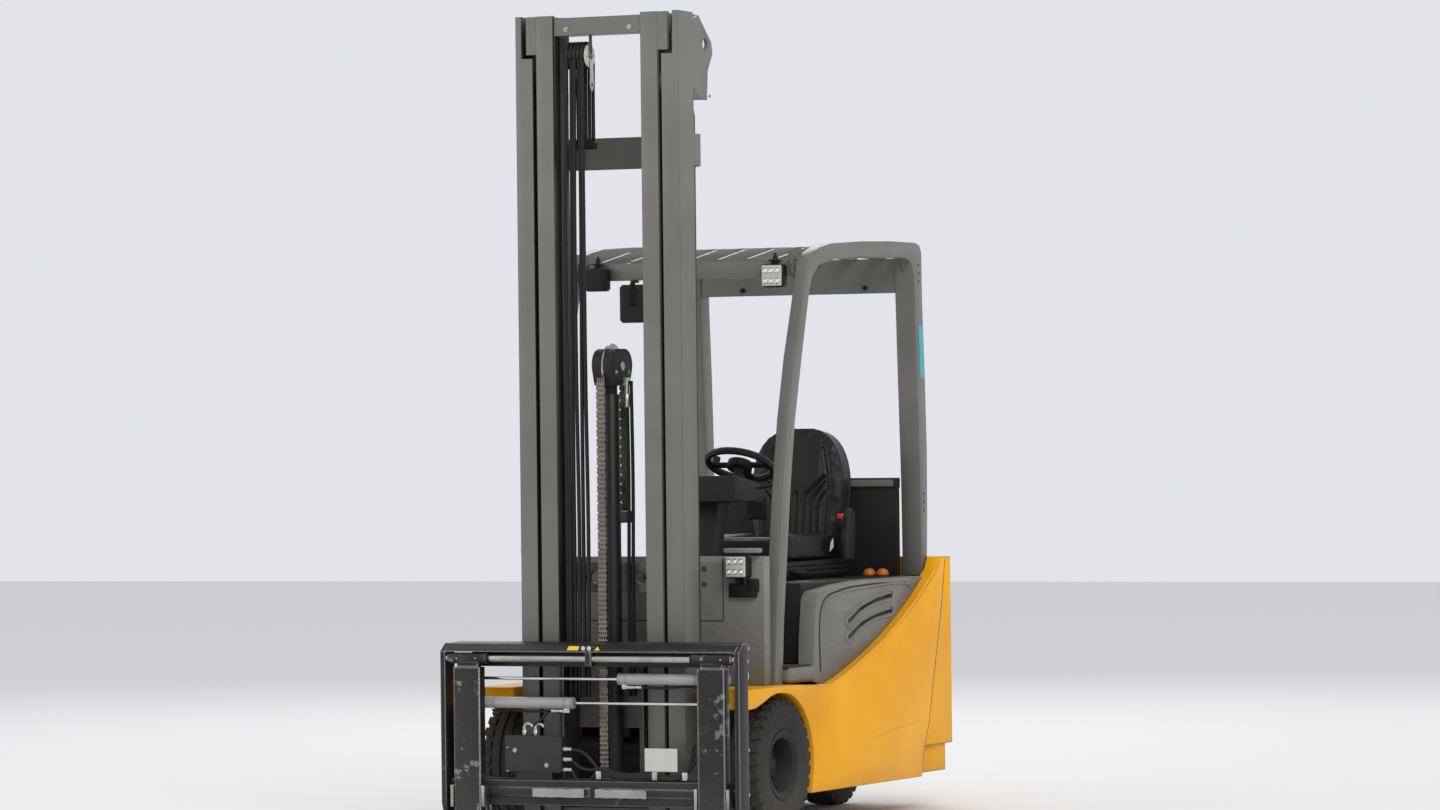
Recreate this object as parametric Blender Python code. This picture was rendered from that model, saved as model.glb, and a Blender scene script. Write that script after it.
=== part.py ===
"""Three-wheel electric counterbalance forklift with a two-stage mast and a fork positioner.

Metres, +Z up. The truck drives towards -Y. Every size below is in the axle frame: Y = 0 is the
front axle, Z = 0 the floor and X = 0 the centre plane, with +X on the truck's left. One empty
shifts that frame so that the origin is the middle of the truck's footprint.
"""

from math import cos, pi, radians, sin

import bmesh
import bpy
from mathutils import Matrix, Vector

# Clearances
GAP = 0.0003            # between pieces that touch
SLIDE = 0.0005          # between a rod or shaft and what it runs in
MOVING = 0.006          # between pieces that move past each other

# Overall sizes
FORK_REACH = 1.598      # front axle to the fork tips
WHEELBASE = 1.357
REAR_OVERHANG = 0.207   # rear wheels' axis to the back of the counterweight
REAR_REACH = WHEELBASE + REAR_OVERHANG
BODY_HALF = 0.525
AXLE_Y = (FORK_REACH - REAR_REACH) / 2

# Front wheels
WHEEL_SIDES = 28        # flats around a tyre and its rim
TYRE_R = 0.2285
TYRE_WIDTH = 0.165
TYRE_OUTER = 0.530
RIM_R = 0.120

# Rear wheels and steering
REAR_R = 0.190
REAR_WIDTH = 0.125
REAR_TRACK = 0.168
REAR_RIM_R = 0.115
REAR_SHAFT_R = 0.020
KINGPIN_R = 0.030
KINGPIN_SIDES = 24      # flats around the kingpin and its bore
WELL_R = 0.265

# Mast
MAST_HALF = 0.308
MAST_FRONT = -0.324
MAST_DEPTH = 0.1185
MAST_TOP = 2.794
MAST_BOTTOM = 0.060
FLANGE = 0.016
WEB = 0.016
OUTER_FLANGE_W = 0.064
INNER_FLANGE_W = 0.0635
RAIL_GAP = 0.0145
STROKE = 2.10           # of the mast lift and of the free lift
PIVOT_Y = -0.120
PIVOT_Z = 0.170
PIVOT_PIN_R = 0.020

# Lift and tilt cylinders
LIFT_X = 0.252
LIFT_Y = -0.152
LIFT_R = 0.032
LIFT_ROD_R = 0.020
LIFT_TOP = MAST_TOP - 0.344
UPPER_TIE = (MAST_TOP - 0.521, MAST_TOP - 0.412)
FREE_Y = MAST_FRONT + MAST_DEPTH - 0.0355
FREE_R = 0.030
FREE_ROD_R = 0.022
FREE_TOP = 1.500
TILT_X = 0.185
TILT_R = 0.034
TILT_ROD_R = 0.016
TILT_PIN_R = 0.012
TILT_BASE = (0.195, 0.390)
TILT_EYE = (-0.155, 0.450)

# Carriage, attachment and forks
CARRIAGE_FRONT = -0.366
FRAME_BACK = -0.3705
FRAME_HALF = 0.563
FRAME_TOP = 0.655
FORK_X = 0.460
FORK_WIDTH = 0.100
FORK_THICK = 0.040
FORK_FRONT = -0.448
FORK_TOP = 0.575
FORK_UNDER = 0.010
SHAFT_R = 0.0125
SHAFT_Z = 0.605
POSITIONER_ROD_R = 0.0058

# Cab and body
FLOOR_Z = 0.500
COWL_TOP = 0.940
HOOD_FRONT = 0.370
HOOD_TOP = 0.8397
SILL_Z = 0.120
WEIGHT_TOP = 0.905
GUARD_OUT = 0.465
GUARD_TOP = 2.045
SEAT_X = 0.070
SEAT_HALF = 0.200
STEER_CENTRE = (0.100, 0.585, 1.250)
STEER_R = 0.130
STEER_TILT = radians(26)

RAIL_BACK = MAST_FRONT + MAST_DEPTH
CHANNEL_Y = MAST_FRONT + MAST_DEPTH / 2
ROLLER_R = MAST_DEPTH / 2 - FLANGE - 0.00035
OUTER_IN = MAST_HALF - OUTER_FLANGE_W
INNER_OUT = OUTER_IN - RAIL_GAP
INNER_IN = INNER_OUT - INNER_FLANGE_W
INNER_WEB = (INNER_IN + 0.024, INNER_IN + 0.024 + WEB)
TYRE_INNER = TYRE_OUTER - TYRE_WIDTH

COLOURS = {
    "yellow paint": ((0.95, 0.45, 0.02), 0.4, 0.0),
    "grey paint": ((0.20, 0.20, 0.17), 0.5, 0.0),
    "grey plastic": ((0.24, 0.24, 0.22), 0.6, 0.0),
    "black paint": ((0.02, 0.02, 0.022), 0.5, 0.0),
    "dark plastic": ((0.03, 0.03, 0.03), 0.6, 0.0),
    "rubber": ((0.015, 0.015, 0.015), 0.85, 0.0),
    "black vinyl": ((0.02, 0.02, 0.02), 0.5, 0.0),
    "silver paint": ((0.45, 0.45, 0.44), 0.35, 0.6),
    "chrome": ((0.75, 0.75, 0.75), 0.15, 1.0),
    "steel": ((0.30, 0.28, 0.25), 0.4, 0.9),
    "lamp": ((0.80, 0.80, 0.78), 0.3, 0.0),
}

EMPTIES = {}


def clear_scene():
    for item in list(bpy.data.objects):
        bpy.data.objects.remove(item, do_unlink=True)


def material(name):
    found = bpy.data.materials.get(name)
    if found:
        return found
    colour, roughness, metallic = COLOURS[name]
    made = bpy.data.materials.new(name)
    made.use_nodes = True
    shader = made.node_tree.nodes["Principled BSDF"]
    shader.inputs["Base Color"].default_value = (*colour, 1.0)
    shader.inputs["Roughness"].default_value = roughness
    shader.inputs["Metallic"].default_value = metallic
    return made


def joint_empty(name, point, parent=None):
    """Makes an empty on a joint's axis, at a point given in the axle frame."""
    empty = bpy.data.objects.new(name + "_axis", None)
    bpy.context.collection.objects.link(empty)
    point = Vector(point)
    if parent is None:
        empty.location = point + Vector((0, AXLE_Y, 0))
    else:
        empty.parent = EMPTIES[parent][0]
        empty.location = point - EMPTIES[parent][1]
    EMPTIES[name] = (empty, point)


# Shapes: each function returns a closed bmesh in the axle frame

def block(x, y, z):
    shape = bmesh.new()
    bmesh.ops.create_cube(shape, size=1.0)
    size = Vector((x[1] - x[0], y[1] - y[0], z[1] - z[0]))
    middle = Vector((x[0] + x[1], y[0] + y[1], z[0] + z[1])) / 2
    bmesh.ops.scale(shape, vec=size, verts=shape.verts)
    bmesh.ops.translate(shape, vec=middle, verts=shape.verts)
    return shape


def to_axis(axis, along, first, second):
    """Puts a distance along an axis and two cross coordinates in X, Y, Z order."""
    if axis == "X":
        return (along, first, second)
    if axis == "Y":
        return (first, along, second)
    return (first, second, along)


def prism(axis, outline, low, high):
    """Extrudes an outline of cross coordinates from low to high along an axis."""
    shape = bmesh.new()
    face = shape.faces.new([shape.verts.new(to_axis(axis, low, *p)) for p in outline])
    moved = bmesh.ops.extrude_face_region(shape, geom=[face])
    verts = [v for v in moved["geom"] if isinstance(v, bmesh.types.BMVert)]
    bmesh.ops.translate(shape, vec=to_axis(axis, high - low, 0, 0), verts=verts)
    bmesh.ops.recalc_face_normals(shape, faces=shape.faces)
    return shape


def lathe(axis, centre, profile, segments=24):
    """Turns a closed profile of (along, radius) points about an axis through a cross centre."""
    shape = bmesh.new()
    rings = []
    for along, radius in profile:
        if radius == 0:
            pole = shape.verts.new(to_axis(axis, along, *centre))
            rings.append([pole] * segments)
            continue
        ring = []
        for step in range(segments):
            angle = 2 * pi * step / segments - pi / 2
            first = centre[0] + radius * cos(angle)
            second = centre[1] + radius * sin(angle)
            ring.append(shape.verts.new(to_axis(axis, along, first, second)))
        rings.append(ring)
    for here, after in zip(rings, rings[1:] + rings[:1]):
        for i in range(segments):
            j = (i + 1) % segments
            corners = list(dict.fromkeys((here[i], here[j], after[j], after[i])))
            if len(corners) > 2:
                shape.faces.new(corners)
    bmesh.ops.recalc_face_normals(shape, faces=shape.faces)
    return shape


def rod(axis, centre, radius, low, high, segments=16):
    return lathe(axis, centre, [(low, 0), (low, radius), (high, radius), (high, 0)], segments)


def tube(axis, centre, outer, inner, low, high, floor=0.0, segments=20):
    """A tube with a closed end of the given thickness at low, or open at both ends."""
    if floor == 0:
        profile = [(low, inner), (low, outer), (high, outer), (high, inner)]
    else:
        profile = [(low, 0), (low, outer), (high, outer), (high, inner),
                   (low + floor, inner), (low + floor, 0)]
    return lathe(axis, centre, profile, segments)


def loft(sections):
    """Joins rectangles given as (y, x low, x high, z low, z high), in order."""
    shape = bmesh.new()
    rings = []
    for y, x_low, x_high, z_low, z_high in sections:
        corners = ((x_low, z_low), (x_high, z_low), (x_high, z_high), (x_low, z_high))
        rings.append([shape.verts.new((x, y, z)) for x, z in corners])
    for here, after in zip(rings, rings[1:]):
        for i in range(4):
            j = (i + 1) % 4
            shape.faces.new((here[i], here[j], after[j], after[i]))
    shape.faces.new(rings[0])
    shape.faces.new(rings[-1])
    bmesh.ops.recalc_face_normals(shape, faces=shape.faces)
    return shape


def arc(centre, radius, start, end, steps):
    """Points on an arc, with the angles in degrees."""
    points = []
    for step in range(steps + 1):
        angle = radians(start + (end - start) * step / steps)
        points.append((centre[0] + radius * cos(angle), centre[1] + radius * sin(angle)))
    return points


def mirrored(shape):
    """A copy of the shape on the other side of the centre plane."""
    copy = shape.copy()
    bmesh.ops.scale(copy, vec=(-1, 1, 1), verts=copy.verts)
    bmesh.ops.reverse_faces(copy, faces=copy.faces)
    return copy


def on_side(shape, side):
    return shape if side > 0 else mirrored(shape)


def both(shape):
    return [shape, mirrored(shape)]


def turned(shape, angle, centre, axis="X"):
    bmesh.ops.rotate(shape, cent=centre, matrix=Matrix.Rotation(angle, 3, axis), verts=shape.verts)
    return shape


def softened(shape, width, segments=2, limit=30):
    """Rounds the edges sharper than the limit, in degrees."""
    sharp = [e for e in shape.edges if e.calc_face_angle(0) > radians(limit)]
    bmesh.ops.bevel(shape, geom=sharp, offset=width, segments=segments, profile=0.5,
                    affect="EDGES", clamp_overlap=True)
    return shape


def loose_object(shape):
    data = bpy.data.meshes.new("shape")
    shape.to_mesh(data)
    shape.free()
    item = bpy.data.objects.new("shape", data)
    bpy.context.collection.objects.link(item)
    return item


def combine(base, other, operation, solver):
    """Joins or cuts two shapes with a Boolean and keeps the result in the first."""
    tool = loose_object(other)
    modifier = base.modifiers.new("combine", "BOOLEAN")
    modifier.object = tool
    modifier.operation = operation
    modifier.solver = solver
    graph = bpy.context.evaluated_depsgraph_get()
    result = bpy.data.meshes.new_from_object(base.evaluated_get(graph))
    base.modifiers.clear()
    base.data = result
    bpy.data.objects.remove(tool, do_unlink=True)


def piece(name, finish, body, add, cut=(), solver="EXACT"):
    """One named solid: the added shapes joined, the cut shapes taken away."""
    item = loose_object(add[0])
    for shape in add[1:]:
        combine(item, shape, "UNION", solver)
    for shape in cut:
        combine(item, shape, "DIFFERENCE", solver)
    item.name = name
    item.data.name = name
    item.data.materials.clear()
    item.data.materials.append(material(finish))
    empty, point = EMPTIES[body]
    item.data.transform(Matrix.Translation(-point))
    item.parent = empty
    item.data.shade_smooth()
    item.data.set_sharp_from_angle(angle=radians(35))
    return item


def make_axes():
    joint_empty("chassis", (0, 0, 0))
    for side, label in ((1, "left"), (-1, "right")):
        joint_empty("front_wheel_" + label, (side * (TYRE_INNER + TYRE_OUTER) / 2, 0, TYRE_R), "chassis")
        joint_empty("tilt_barrel_" + label, (side * TILT_X, *TILT_BASE), "chassis")
        joint_empty("tilt_rod_" + label, (side * TILT_X, *TILT_EYE), "tilt_barrel_" + label)
    joint_empty("steer_turntable", (0, WHEELBASE, REAR_R), "chassis")
    joint_empty("rear_wheels", (0, WHEELBASE, REAR_R), "steer_turntable")
    joint_empty("steering_wheel", STEER_CENTRE, "chassis")
    joint_empty("outer_mast", (0, PIVOT_Y, PIVOT_Z), "chassis")
    joint_empty("inner_mast", (0, CHANNEL_Y, MAST_BOTTOM), "outer_mast")
    joint_empty("free_lift_head", (0, FREE_Y, FREE_TOP), "inner_mast")
    joint_empty("carriage", (0, CHANNEL_Y, 0.350), "inner_mast")
    joint_empty("attachment", (0, FRAME_BACK, 0.400), "carriage")
    joint_empty("fork_left", (FORK_X, FORK_FRONT, SHAFT_Z), "attachment")
    joint_empty("fork_right", (-FORK_X, FORK_FRONT, SHAFT_Z), "attachment")


# Wheels and axles

def make_front_wheels():
    low, high = TYRE_INNER, TYRE_OUTER
    bore = RIM_R + GAP
    tread = TYRE_R
    tyre_profile = [
        (low + 0.012, bore), (low, tread - 0.030), (low + 0.028, tread),
        (high - 0.028, tread), (high, tread - 0.030), (high - 0.012, bore),
    ]
    barrel_low, barrel_high = low + 0.008, high - 0.007
    disc = low + 0.050
    rim_profile = [
        (disc - 0.030, 0), (disc - 0.030, 0.060), (disc, RIM_R - 0.012),
        (barrel_low, RIM_R - 0.008), (barrel_low, RIM_R), (barrel_high, RIM_R),
        (barrel_high, RIM_R - 0.007), (disc + 0.020, RIM_R - 0.012),
        (disc + 0.055, 0.060), (disc + 0.055, 0),
    ]
    for side, label in ((1, "left"), (-1, "right")):
        body = "front_wheel_" + label
        tyre = lathe("X", (0, TYRE_R), tyre_profile, WHEEL_SIDES)
        rim = lathe("X", (0, TYRE_R), rim_profile, WHEEL_SIDES)
        piece("front_tyre_" + label, "rubber", body, [on_side(tyre, side)])
        piece("front_rim_" + label, "dark plastic", body, [on_side(rim, side)])


def make_front_axle():
    housing_r = 0.090
    hub_face = TYRE_INNER + 0.020 - GAP
    ear = (0.220, 0.2445)
    ear_half = 0.034
    shapes = [rod("X", (0, TYRE_R), housing_r, -0.345, 0.345, 24)]
    shapes.append(rod("X", (0, TYRE_R), 0.050, -hub_face, hub_face))
    holes = []
    for side in (1, -1):
        outline = [(0, PIVOT_Z - ear_half), (0, TYRE_R + 0.040), (PIVOT_Y, PIVOT_Z + ear_half)]
        outline += arc((PIVOT_Y, PIVOT_Z), ear_half, 90, 270, 6)[1:]
        shapes.append(on_side(prism("X", outline, *ear), side))
        hole = rod("X", (PIVOT_Y, PIVOT_Z), PIVOT_PIN_R + SLIDE, ear[0] - 0.01, ear[1] + 0.01)
        holes.append(on_side(hole, side))
    piece("front_axle", "black paint", "chassis", shapes, holes, "MANIFOLD")


def make_rear_wheels():
    centre = (WHEELBASE, REAR_R)
    low = REAR_TRACK / 2 - REAR_WIDTH / 2
    high = REAR_TRACK / 2 + REAR_WIDTH / 2
    bore = REAR_RIM_R + GAP
    profile = [
        (low + 0.010, bore), (low, REAR_R - 0.024), (low + 0.022, REAR_R),
        (high - 0.022, REAR_R), (high, REAR_R - 0.024), (high - 0.010, bore),
    ]
    hub = [rod("X", centre, REAR_SHAFT_R, -high + 0.010, high - 0.010)]
    for side, label in ((1, "left"), (-1, "right")):
        tyre = lathe("X", centre, profile, WHEEL_SIDES)
        piece("rear_tyre_" + label, "rubber", "rear_wheels", [on_side(tyre, side)])
        disc = low + 0.035
        rim = [(disc, 0.010), (disc, REAR_RIM_R - 0.010), (low + 0.008, REAR_RIM_R - 0.007),
               (low + 0.008, REAR_RIM_R), (high - 0.008, REAR_RIM_R),
               (high - 0.008, REAR_RIM_R - 0.007), (disc + 0.020, REAR_RIM_R - 0.012),
               (disc + 0.040, 0.050), (disc + 0.040, 0.010)]
        hub.append(on_side(lathe("X", centre, rim, WHEEL_SIDES), side))
    piece("rear_wheel_hub", "dark plastic", "rear_wheels", hub, solver="MANIFOLD")


def make_turntable():
    leg_half = REAR_TRACK / 2 - REAR_WIDTH / 2 - 0.006
    disc_low, disc_high = REAR_R + REAR_R + 0.030, 0.470 - GAP
    leg = block((-leg_half, leg_half), (WHEELBASE - 0.060, WHEELBASE + 0.060), (REAR_R, disc_low + 0.010))
    foot = rod("X", (WHEELBASE, REAR_R), 0.060, -leg_half, leg_half)
    disc = rod("Z", (0, WHEELBASE), 0.120, disc_low, disc_high, 24)
    kingpin = rod("Z", (0, WHEELBASE), KINGPIN_R, disc_high - 0.010, FLOOR_Z, KINGPIN_SIDES)
    hole = rod("X", (WHEELBASE, REAR_R), REAR_SHAFT_R + SLIDE, -0.100, 0.100)
    shapes = [leg, foot, disc, kingpin]
    piece("steer_turntable", "black paint", "steer_turntable", shapes, [hole], "MANIFOLD")


# Chassis and body

def make_chassis():
    beam = (0.440, BODY_HALF - 0.055 - GAP)
    front = 0.236 + GAP
    bulkhead = 1.080
    plate_low = 0.470
    shapes = [
        block((-beam[1], beam[1]), (front, front + 0.026), (SILL_Z - 0.005, plate_low)),
        block((-0.360, 0.360), (0, HOOD_FRONT + 0.050), (plate_low - 0.0004, FLOOR_Z)),
        block((-beam[1], beam[1]), (front + 0.010, bulkhead + 0.020), (SILL_Z - 0.005, SILL_Z + 0.010)),
        block((-beam[1], beam[1]), (bulkhead, bulkhead + 0.025), (SILL_Z - 0.005, FLOOR_Z)),
        block((-0.130, 0.130), (bulkhead + 0.010, WHEELBASE + 0.123), (plate_low, FLOOR_Z)),
    ]
    cuts = [rod("Z", (0, WHEELBASE), KINGPIN_R + SLIDE, plate_low - 0.05, FLOOR_Z + 0.05, KINGPIN_SIDES)]
    lug_y, lug_z = TILT_BASE
    for side in (1, -1):
        rail = block(beam, (front + 0.010, bulkhead + 0.020), (SILL_Z, 0.460))
        shapes.append(on_side(rail, side))
        saddle = block((0.030, 0.120), (-0.060, 0.060), (TYRE_R + 0.090 + GAP, plate_low + 0.010))
        shapes.append(on_side(saddle, side))
        lug = block((0.135, 0.147), (lug_y - 0.030, front + 0.010), (lug_z - 0.030, lug_z + 0.030))
        shapes.append(on_side(lug, side))
        pin = rod("X", (lug_y, lug_z), TILT_PIN_R, 0.140, 0.206)
        shapes.append(on_side(pin, side))
    piece("chassis_frame", "black paint", "chassis", shapes, cuts)
    battery_floor = SILL_Z + 0.010 + GAP
    battery = block((-0.400, 0.400), (0.430, 1.050), (battery_floor, 0.780))
    piece("traction_battery", "dark plastic", "chassis", [softened(battery, 0.008, 1)])


def arch_line():
    """The lip of the front wheel arch, from the fender's tip back and down to the sill."""
    lip = [(-0.290, 0.430), (-0.235, 0.432), (-0.176, 0.446), (-0.110, 0.466), (-0.050, 0.476)]
    clear = TYRE_R + 0.0165
    return lip + arc((0, TYRE_R), clear, 88, -26.0, 14)


SHOULDER = [(0.134, 0.497), (0.300, 0.489), (0.410, 0.486), (0.510, 0.506), (0.618, 0.536),
            (0.724, 0.569), (0.830, 0.604), (0.926, 0.641), (1.021, 0.680), (1.100, 0.717),
            (1.176, 0.755), (1.249, 0.797), (1.310, 0.832), (1.363, 0.862)]
SEAM = [(1.196, 0.120), (1.212, 0.206), (1.267, 0.316), (1.397, 0.748), (1.430, WEIGHT_TOP)]


def make_side_panels():
    inner = BODY_HALF - 0.055
    fender_in = 0.360 + GAP
    top = FLOOR_Z - 0.0015
    seam = [(y - GAP, z) for y, z in SEAM]
    outline = arch_line() + [(0.221, SILL_Z)] + seam + [(1.390, WEIGHT_TOP)]
    outline += list(reversed(SHOULDER)) + [(0.020, top), (-0.290, top)]
    tread = top - 0.012
    fender = arch_line() + [(0.221, SILL_Z), (0.235, SILL_Z), (0.235, tread), (0.120, tread),
                            (0.118, top), (-0.290, top)]
    for side, label in ((1, "left"), (-1, "right")):
        wall = prism("X", outline, inner, BODY_HALF)
        arch = prism("X", fender, fender_in, inner - GAP)
        piece("side_panel_" + label, "yellow paint", "chassis", [on_side(wall, side)])
        piece("wheel_arch_" + label, "yellow paint", "chassis", [on_side(arch, side)])


def make_side_covers():
    inner, outer = 0.425 + GAP, 0.485
    lower = [(y, z + GAP) for y, z in SHOULDER if 0.35 < y < 1.35]
    cover = [(0.340, 0.4985)] + lower
    cover += [(1.300, 0.838), (0.806, 0.837), (0.587, 0.826), (0.440, 0.812)]
    cover += arc((0.420, 0.760), 0.052, 85, 175, 5)
    cover += [(0.350, 0.650)]
    step_low = FLOOR_Z - 0.0005
    slots = []
    for shift in (0.0, -0.055):
        slot = [(0.640, 0.700 + shift), (0.760, 0.745 + shift), (0.900, 0.772 + shift),
                (1.050, 0.786 + shift), (1.050, 0.770 + shift), (0.900, 0.756 + shift),
                (0.760, 0.727 + shift), (0.650, 0.686 + shift)]
        slots.append(prism("X", slot, outer - 0.030, outer + 0.010))
    for side, label in ((1, "left"), (-1, "right")):
        wall = prism("X", cover, inner, outer)
        step = block((0.362, 0.490), (0.136, 0.352), (step_low, 0.556))
        shapes = [on_side(wall, side), on_side(softened(step, 0.010, 1), side)]
        cuts = [on_side(slot.copy(), side) for slot in slots]
        piece("side_cover_" + label, "grey plastic", "chassis", shapes, cuts)


def make_hood():
    inner = 0.425
    top = block((-inner, inner), (HOOD_FRONT, 1.400), (HOOD_TOP - 0.040, HOOD_TOP))
    wall = block((-inner, inner), (HOOD_FRONT, HOOD_FRONT + 0.030), (FLOOR_Z + GAP, HOOD_TOP - 0.010))
    notch = block((0.350, 0.500), (HOOD_FRONT - 0.01, HOOD_FRONT + 0.05), (0.400, 0.560))
    cuts = both(notch)
    piece("battery_hood", "dark plastic", "chassis", [top, wall], cuts)


def make_counterweight():
    back = REAR_REACH
    corner = 0.060
    side = BODY_HALF
    plan = [(-side, 1.000), (side, 1.000), (side, 1.480)]
    plan += arc((0.493 - corner, back - corner), corner, 15, 90, 5)
    plan += [(-x, y) for x, y in reversed(plan[2:])]
    skirt = [(x * 0.97, y - 0.030 if y > 1.2 else y) for x, y in plan]
    upper = prism("Z", plan, 0.228, WEIGHT_TOP)
    lower = prism("Z", skirt, SILL_Z + 0.010, 0.240)
    front = [(0.900, 0.050), (1.196, 0.050)] + SEAM + [(1.430, 1.000), (0.900, 1.000)]
    cuts = [
        prism("X", front, -0.700, 0.700),
        rod("Z", (0, WHEELBASE), WELL_R, 0.000, 0.405, 36),
        rod("Z", (0, WHEELBASE), 0.190, 0.400, FLOOR_Z + GAP, 24),
    ]
    piece("counterweight", "yellow paint", "chassis", [upper, lower], cuts)


def make_cowl():
    outline = [(0, FLOOR_Z + GAP), (0, COWL_TOP - 0.020), (0.014, COWL_TOP), (0.052, COWL_TOP),
               (0.052, FLOOR_Z + GAP)]
    cowl = prism("X", outline, -0.455, 0.455)
    piece("front_cowl", "grey plastic", "chassis", [cowl])


def make_guard():
    bottom = FLOOR_Z - 0.0015 + GAP
    foot = HOOD_TOP + GAP
    front_edge = [(0.060, bottom), (0.078, 0.718), (0.110, 0.944), (0.146, 1.180), (0.190, 1.407),
                  (0.250, 1.620), (0.322, 1.815), (0.352, 1.905), (0.372, 1.960), (0.400, 1.982)]
    roof = [(0.480, 2.008), (0.578, 2.024), (0.840, 2.038), (1.100, GUARD_TOP), (1.330, GUARD_TOP)]
    back = [(1.368, 2.036), (1.385, 2.010), (1.388, 1.830), (1.405, 1.560), (1.416, 1.290),
            (1.412, 1.050), (1.4055, 0.912), (1.405, foot)]
    inside = [(1.355, foot), (1.349, 1.185), (1.328, 1.580), (1.312, 1.930), (1.285, 1.975),
              (1.240, 1.988), (0.840, 1.983), (0.600, 1.968), (0.470, 1.945), (0.410, 1.900),
              (0.382, 1.840), (0.315, 1.620), (0.254, 1.407), (0.211, 1.180), (0.176, 0.944),
              (0.143, 0.718), (0.124, bottom)]
    outline = front_edge + roof + back + inside
    deep = [(1.312, 2.030)] + back[1:] + inside[:4]
    for side, label in ((1, "left"), (-1, "right")):
        frame = prism("X", outline, GUARD_OUT - 0.040, GUARD_OUT)
        column = prism("X", deep, GUARD_OUT - 0.075, GUARD_OUT - 0.030)
        shapes = [on_side(frame, side), on_side(column, side)]
        piece("guard_side_" + label, "grey paint", "chassis", shapes)
    reach = GUARD_OUT - 0.040 - GAP
    rear_reach = GUARD_OUT - 0.075 - GAP
    shapes = [
        block((-reach, reach), (0.385, 0.425), (1.905, 1.965)),
        block((-rear_reach, rear_reach), (1.318, 1.345), (1.865, 1.990)),
        block((-reach, reach), (0.800, 0.830), (1.990, 2.022)),
    ]
    for x in (-0.340, -0.227, -0.113, 0.0, 0.113, 0.227, 0.340):
        bar = [(0.400, 1.940), (0.400, 1.972), (0.620, 2.012), (0.840, 2.024), (1.340, 2.030),
               (1.340, 1.985), (0.840, 1.992), (0.620, 1.980), (0.420, 1.940)]
        shapes.append(prism("X", bar, x - 0.006, x + 0.006))
    piece("guard_roof", "grey paint", "chassis", shapes)
    panel = block((-rear_reach, rear_reach), (1.312, 1.334), (HOOD_TOP + GAP, 1.160))
    rail = block((-rear_reach, rear_reach), (1.306, 1.340), (1.158, 1.194))
    piece("rear_guard_panel", "dark plastic", "chassis", [panel, rail])


def make_seat():
    x = (SEAT_X - SEAT_HALF, SEAT_X + SEAT_HALF)
    base = block((x[0] + 0.020, x[1] - 0.020), (0.620, 1.180), (HOOD_TOP + GAP, 0.905))
    piece("seat_suspension", "dark plastic", "chassis", [softened(base, 0.012, 1)])
    cushion = block(x, (0.620, 1.090), (0.905 + GAP, 1.000))
    piece("seat_cushion", "black vinyl", "chassis", [softened(cushion, 0.025, 2)])
    low, high = 0.905 + GAP, 1.415
    outline = [(x[0] + 0.020, low), (x[1] - 0.020, low), (x[1], 1.060), (x[1], 1.230)]
    outline += arc((x[1] - 0.110, high - 0.130), 0.125, 20, 80, 4)
    outline += [(2 * SEAT_X - px, pz) for px, pz in reversed(outline[2:])]
    back = prism("Y", outline, 1.092, 1.180)
    for vert in back.verts:
        vert.co.y += 0.16 * max(0.0, vert.co.z - 1.000)
    piece("seat_back", "black vinyl", "chassis", [softened(back, 0.022, 1)])
    arm_x = (SEAT_X - SEAT_HALF - 0.100, SEAT_X - SEAT_HALF - 0.020)
    middle = (arm_x[0] + arm_x[1]) / 2
    shapes = [
        softened(block(arm_x, (0.560, 0.980), (1.010, 1.075)), 0.015, 1),
        block((middle - 0.020, middle + 0.020), (0.800, 0.880), (HOOD_TOP + GAP, 1.030)),
        rod("Z", (middle, 0.610), 0.014, 1.060, 1.130, 12),
        lathe("Z", (middle, 0.610), [(1.118, 0), (1.122, 0.018), (1.145, 0.022), (1.165, 0.014),
                                     (1.170, 0)], 12),
    ]
    piece("armrest", "dark plastic", "chassis", shapes)


def make_steering():
    x, y, z = STEER_CENTRE
    slope = sin(STEER_TILT) / cos(STEER_TILT)
    reach = 0.092
    seat_y = y - reach * sin(STEER_TILT)
    seat_z = z - reach * cos(STEER_TILT)
    seat_z -= GAP
    low = (seat_y + 0.050, seat_z - 0.050 * slope)
    high = (seat_y - 0.050, seat_z + 0.050 * slope)
    pod = [(0.300, 1.122), (0.520, 1.122), low, high, (0.320, 1.215)]
    column = [(0.120, FLOOR_Z + GAP), (0.200, FLOOR_Z + GAP), (0.400, 0.920), (0.480, 1.130),
              (0.380, 1.130), (0.320, 0.920)]
    shapes = [prism("X", pod, x - 0.120, x + 0.110), prism("X", column, x - 0.070, x + 0.010)]
    piece("steering_console", "dark plastic", "chassis", shapes)
    rim = bmesh.new()
    around, section = 28, 6
    rings = []
    for i in range(around):
        a = 2 * pi * i / around
        ring = []
        for j in range(section):
            b = 2 * pi * j / section
            r = STEER_R - 0.013 + 0.013 * cos(b)
            ring.append(rim.verts.new((x + r * cos(a), y + r * sin(a), z + 0.013 * sin(b))))
        rings.append(ring)
    for i in range(around):
        here, after = rings[i], rings[(i + 1) % around]
        for j in range(section):
            k = (j + 1) % section
            rim.faces.new((here[j], here[k], after[k], after[j]))
    bmesh.ops.recalc_face_normals(rim, faces=rim.faces)
    spoke = STEER_R - 0.010
    shapes = [
        rim,
        rod("Z", (x, y), 0.045, z - 0.018, z + 0.010),
        rod("Z", (x, y), 0.016, z - reach, z, 12),
        block((x - spoke, x + spoke), (y - 0.014, y + 0.014), (z - 0.006, z + 0.004)),
        block((x - 0.014, x + 0.014), (y, y + spoke), (z - 0.0062, z + 0.0042)),
        rod("Z", (x - STEER_R + 0.018, y + 0.030), 0.014, z, z + 0.045, 10),
    ]
    for shape in shapes:
        turned(shape, -STEER_TILT, STEER_CENTRE)
    piece("steering_wheel", "dark plastic", "steering_wheel", shapes, solver="MANIFOLD")


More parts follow.
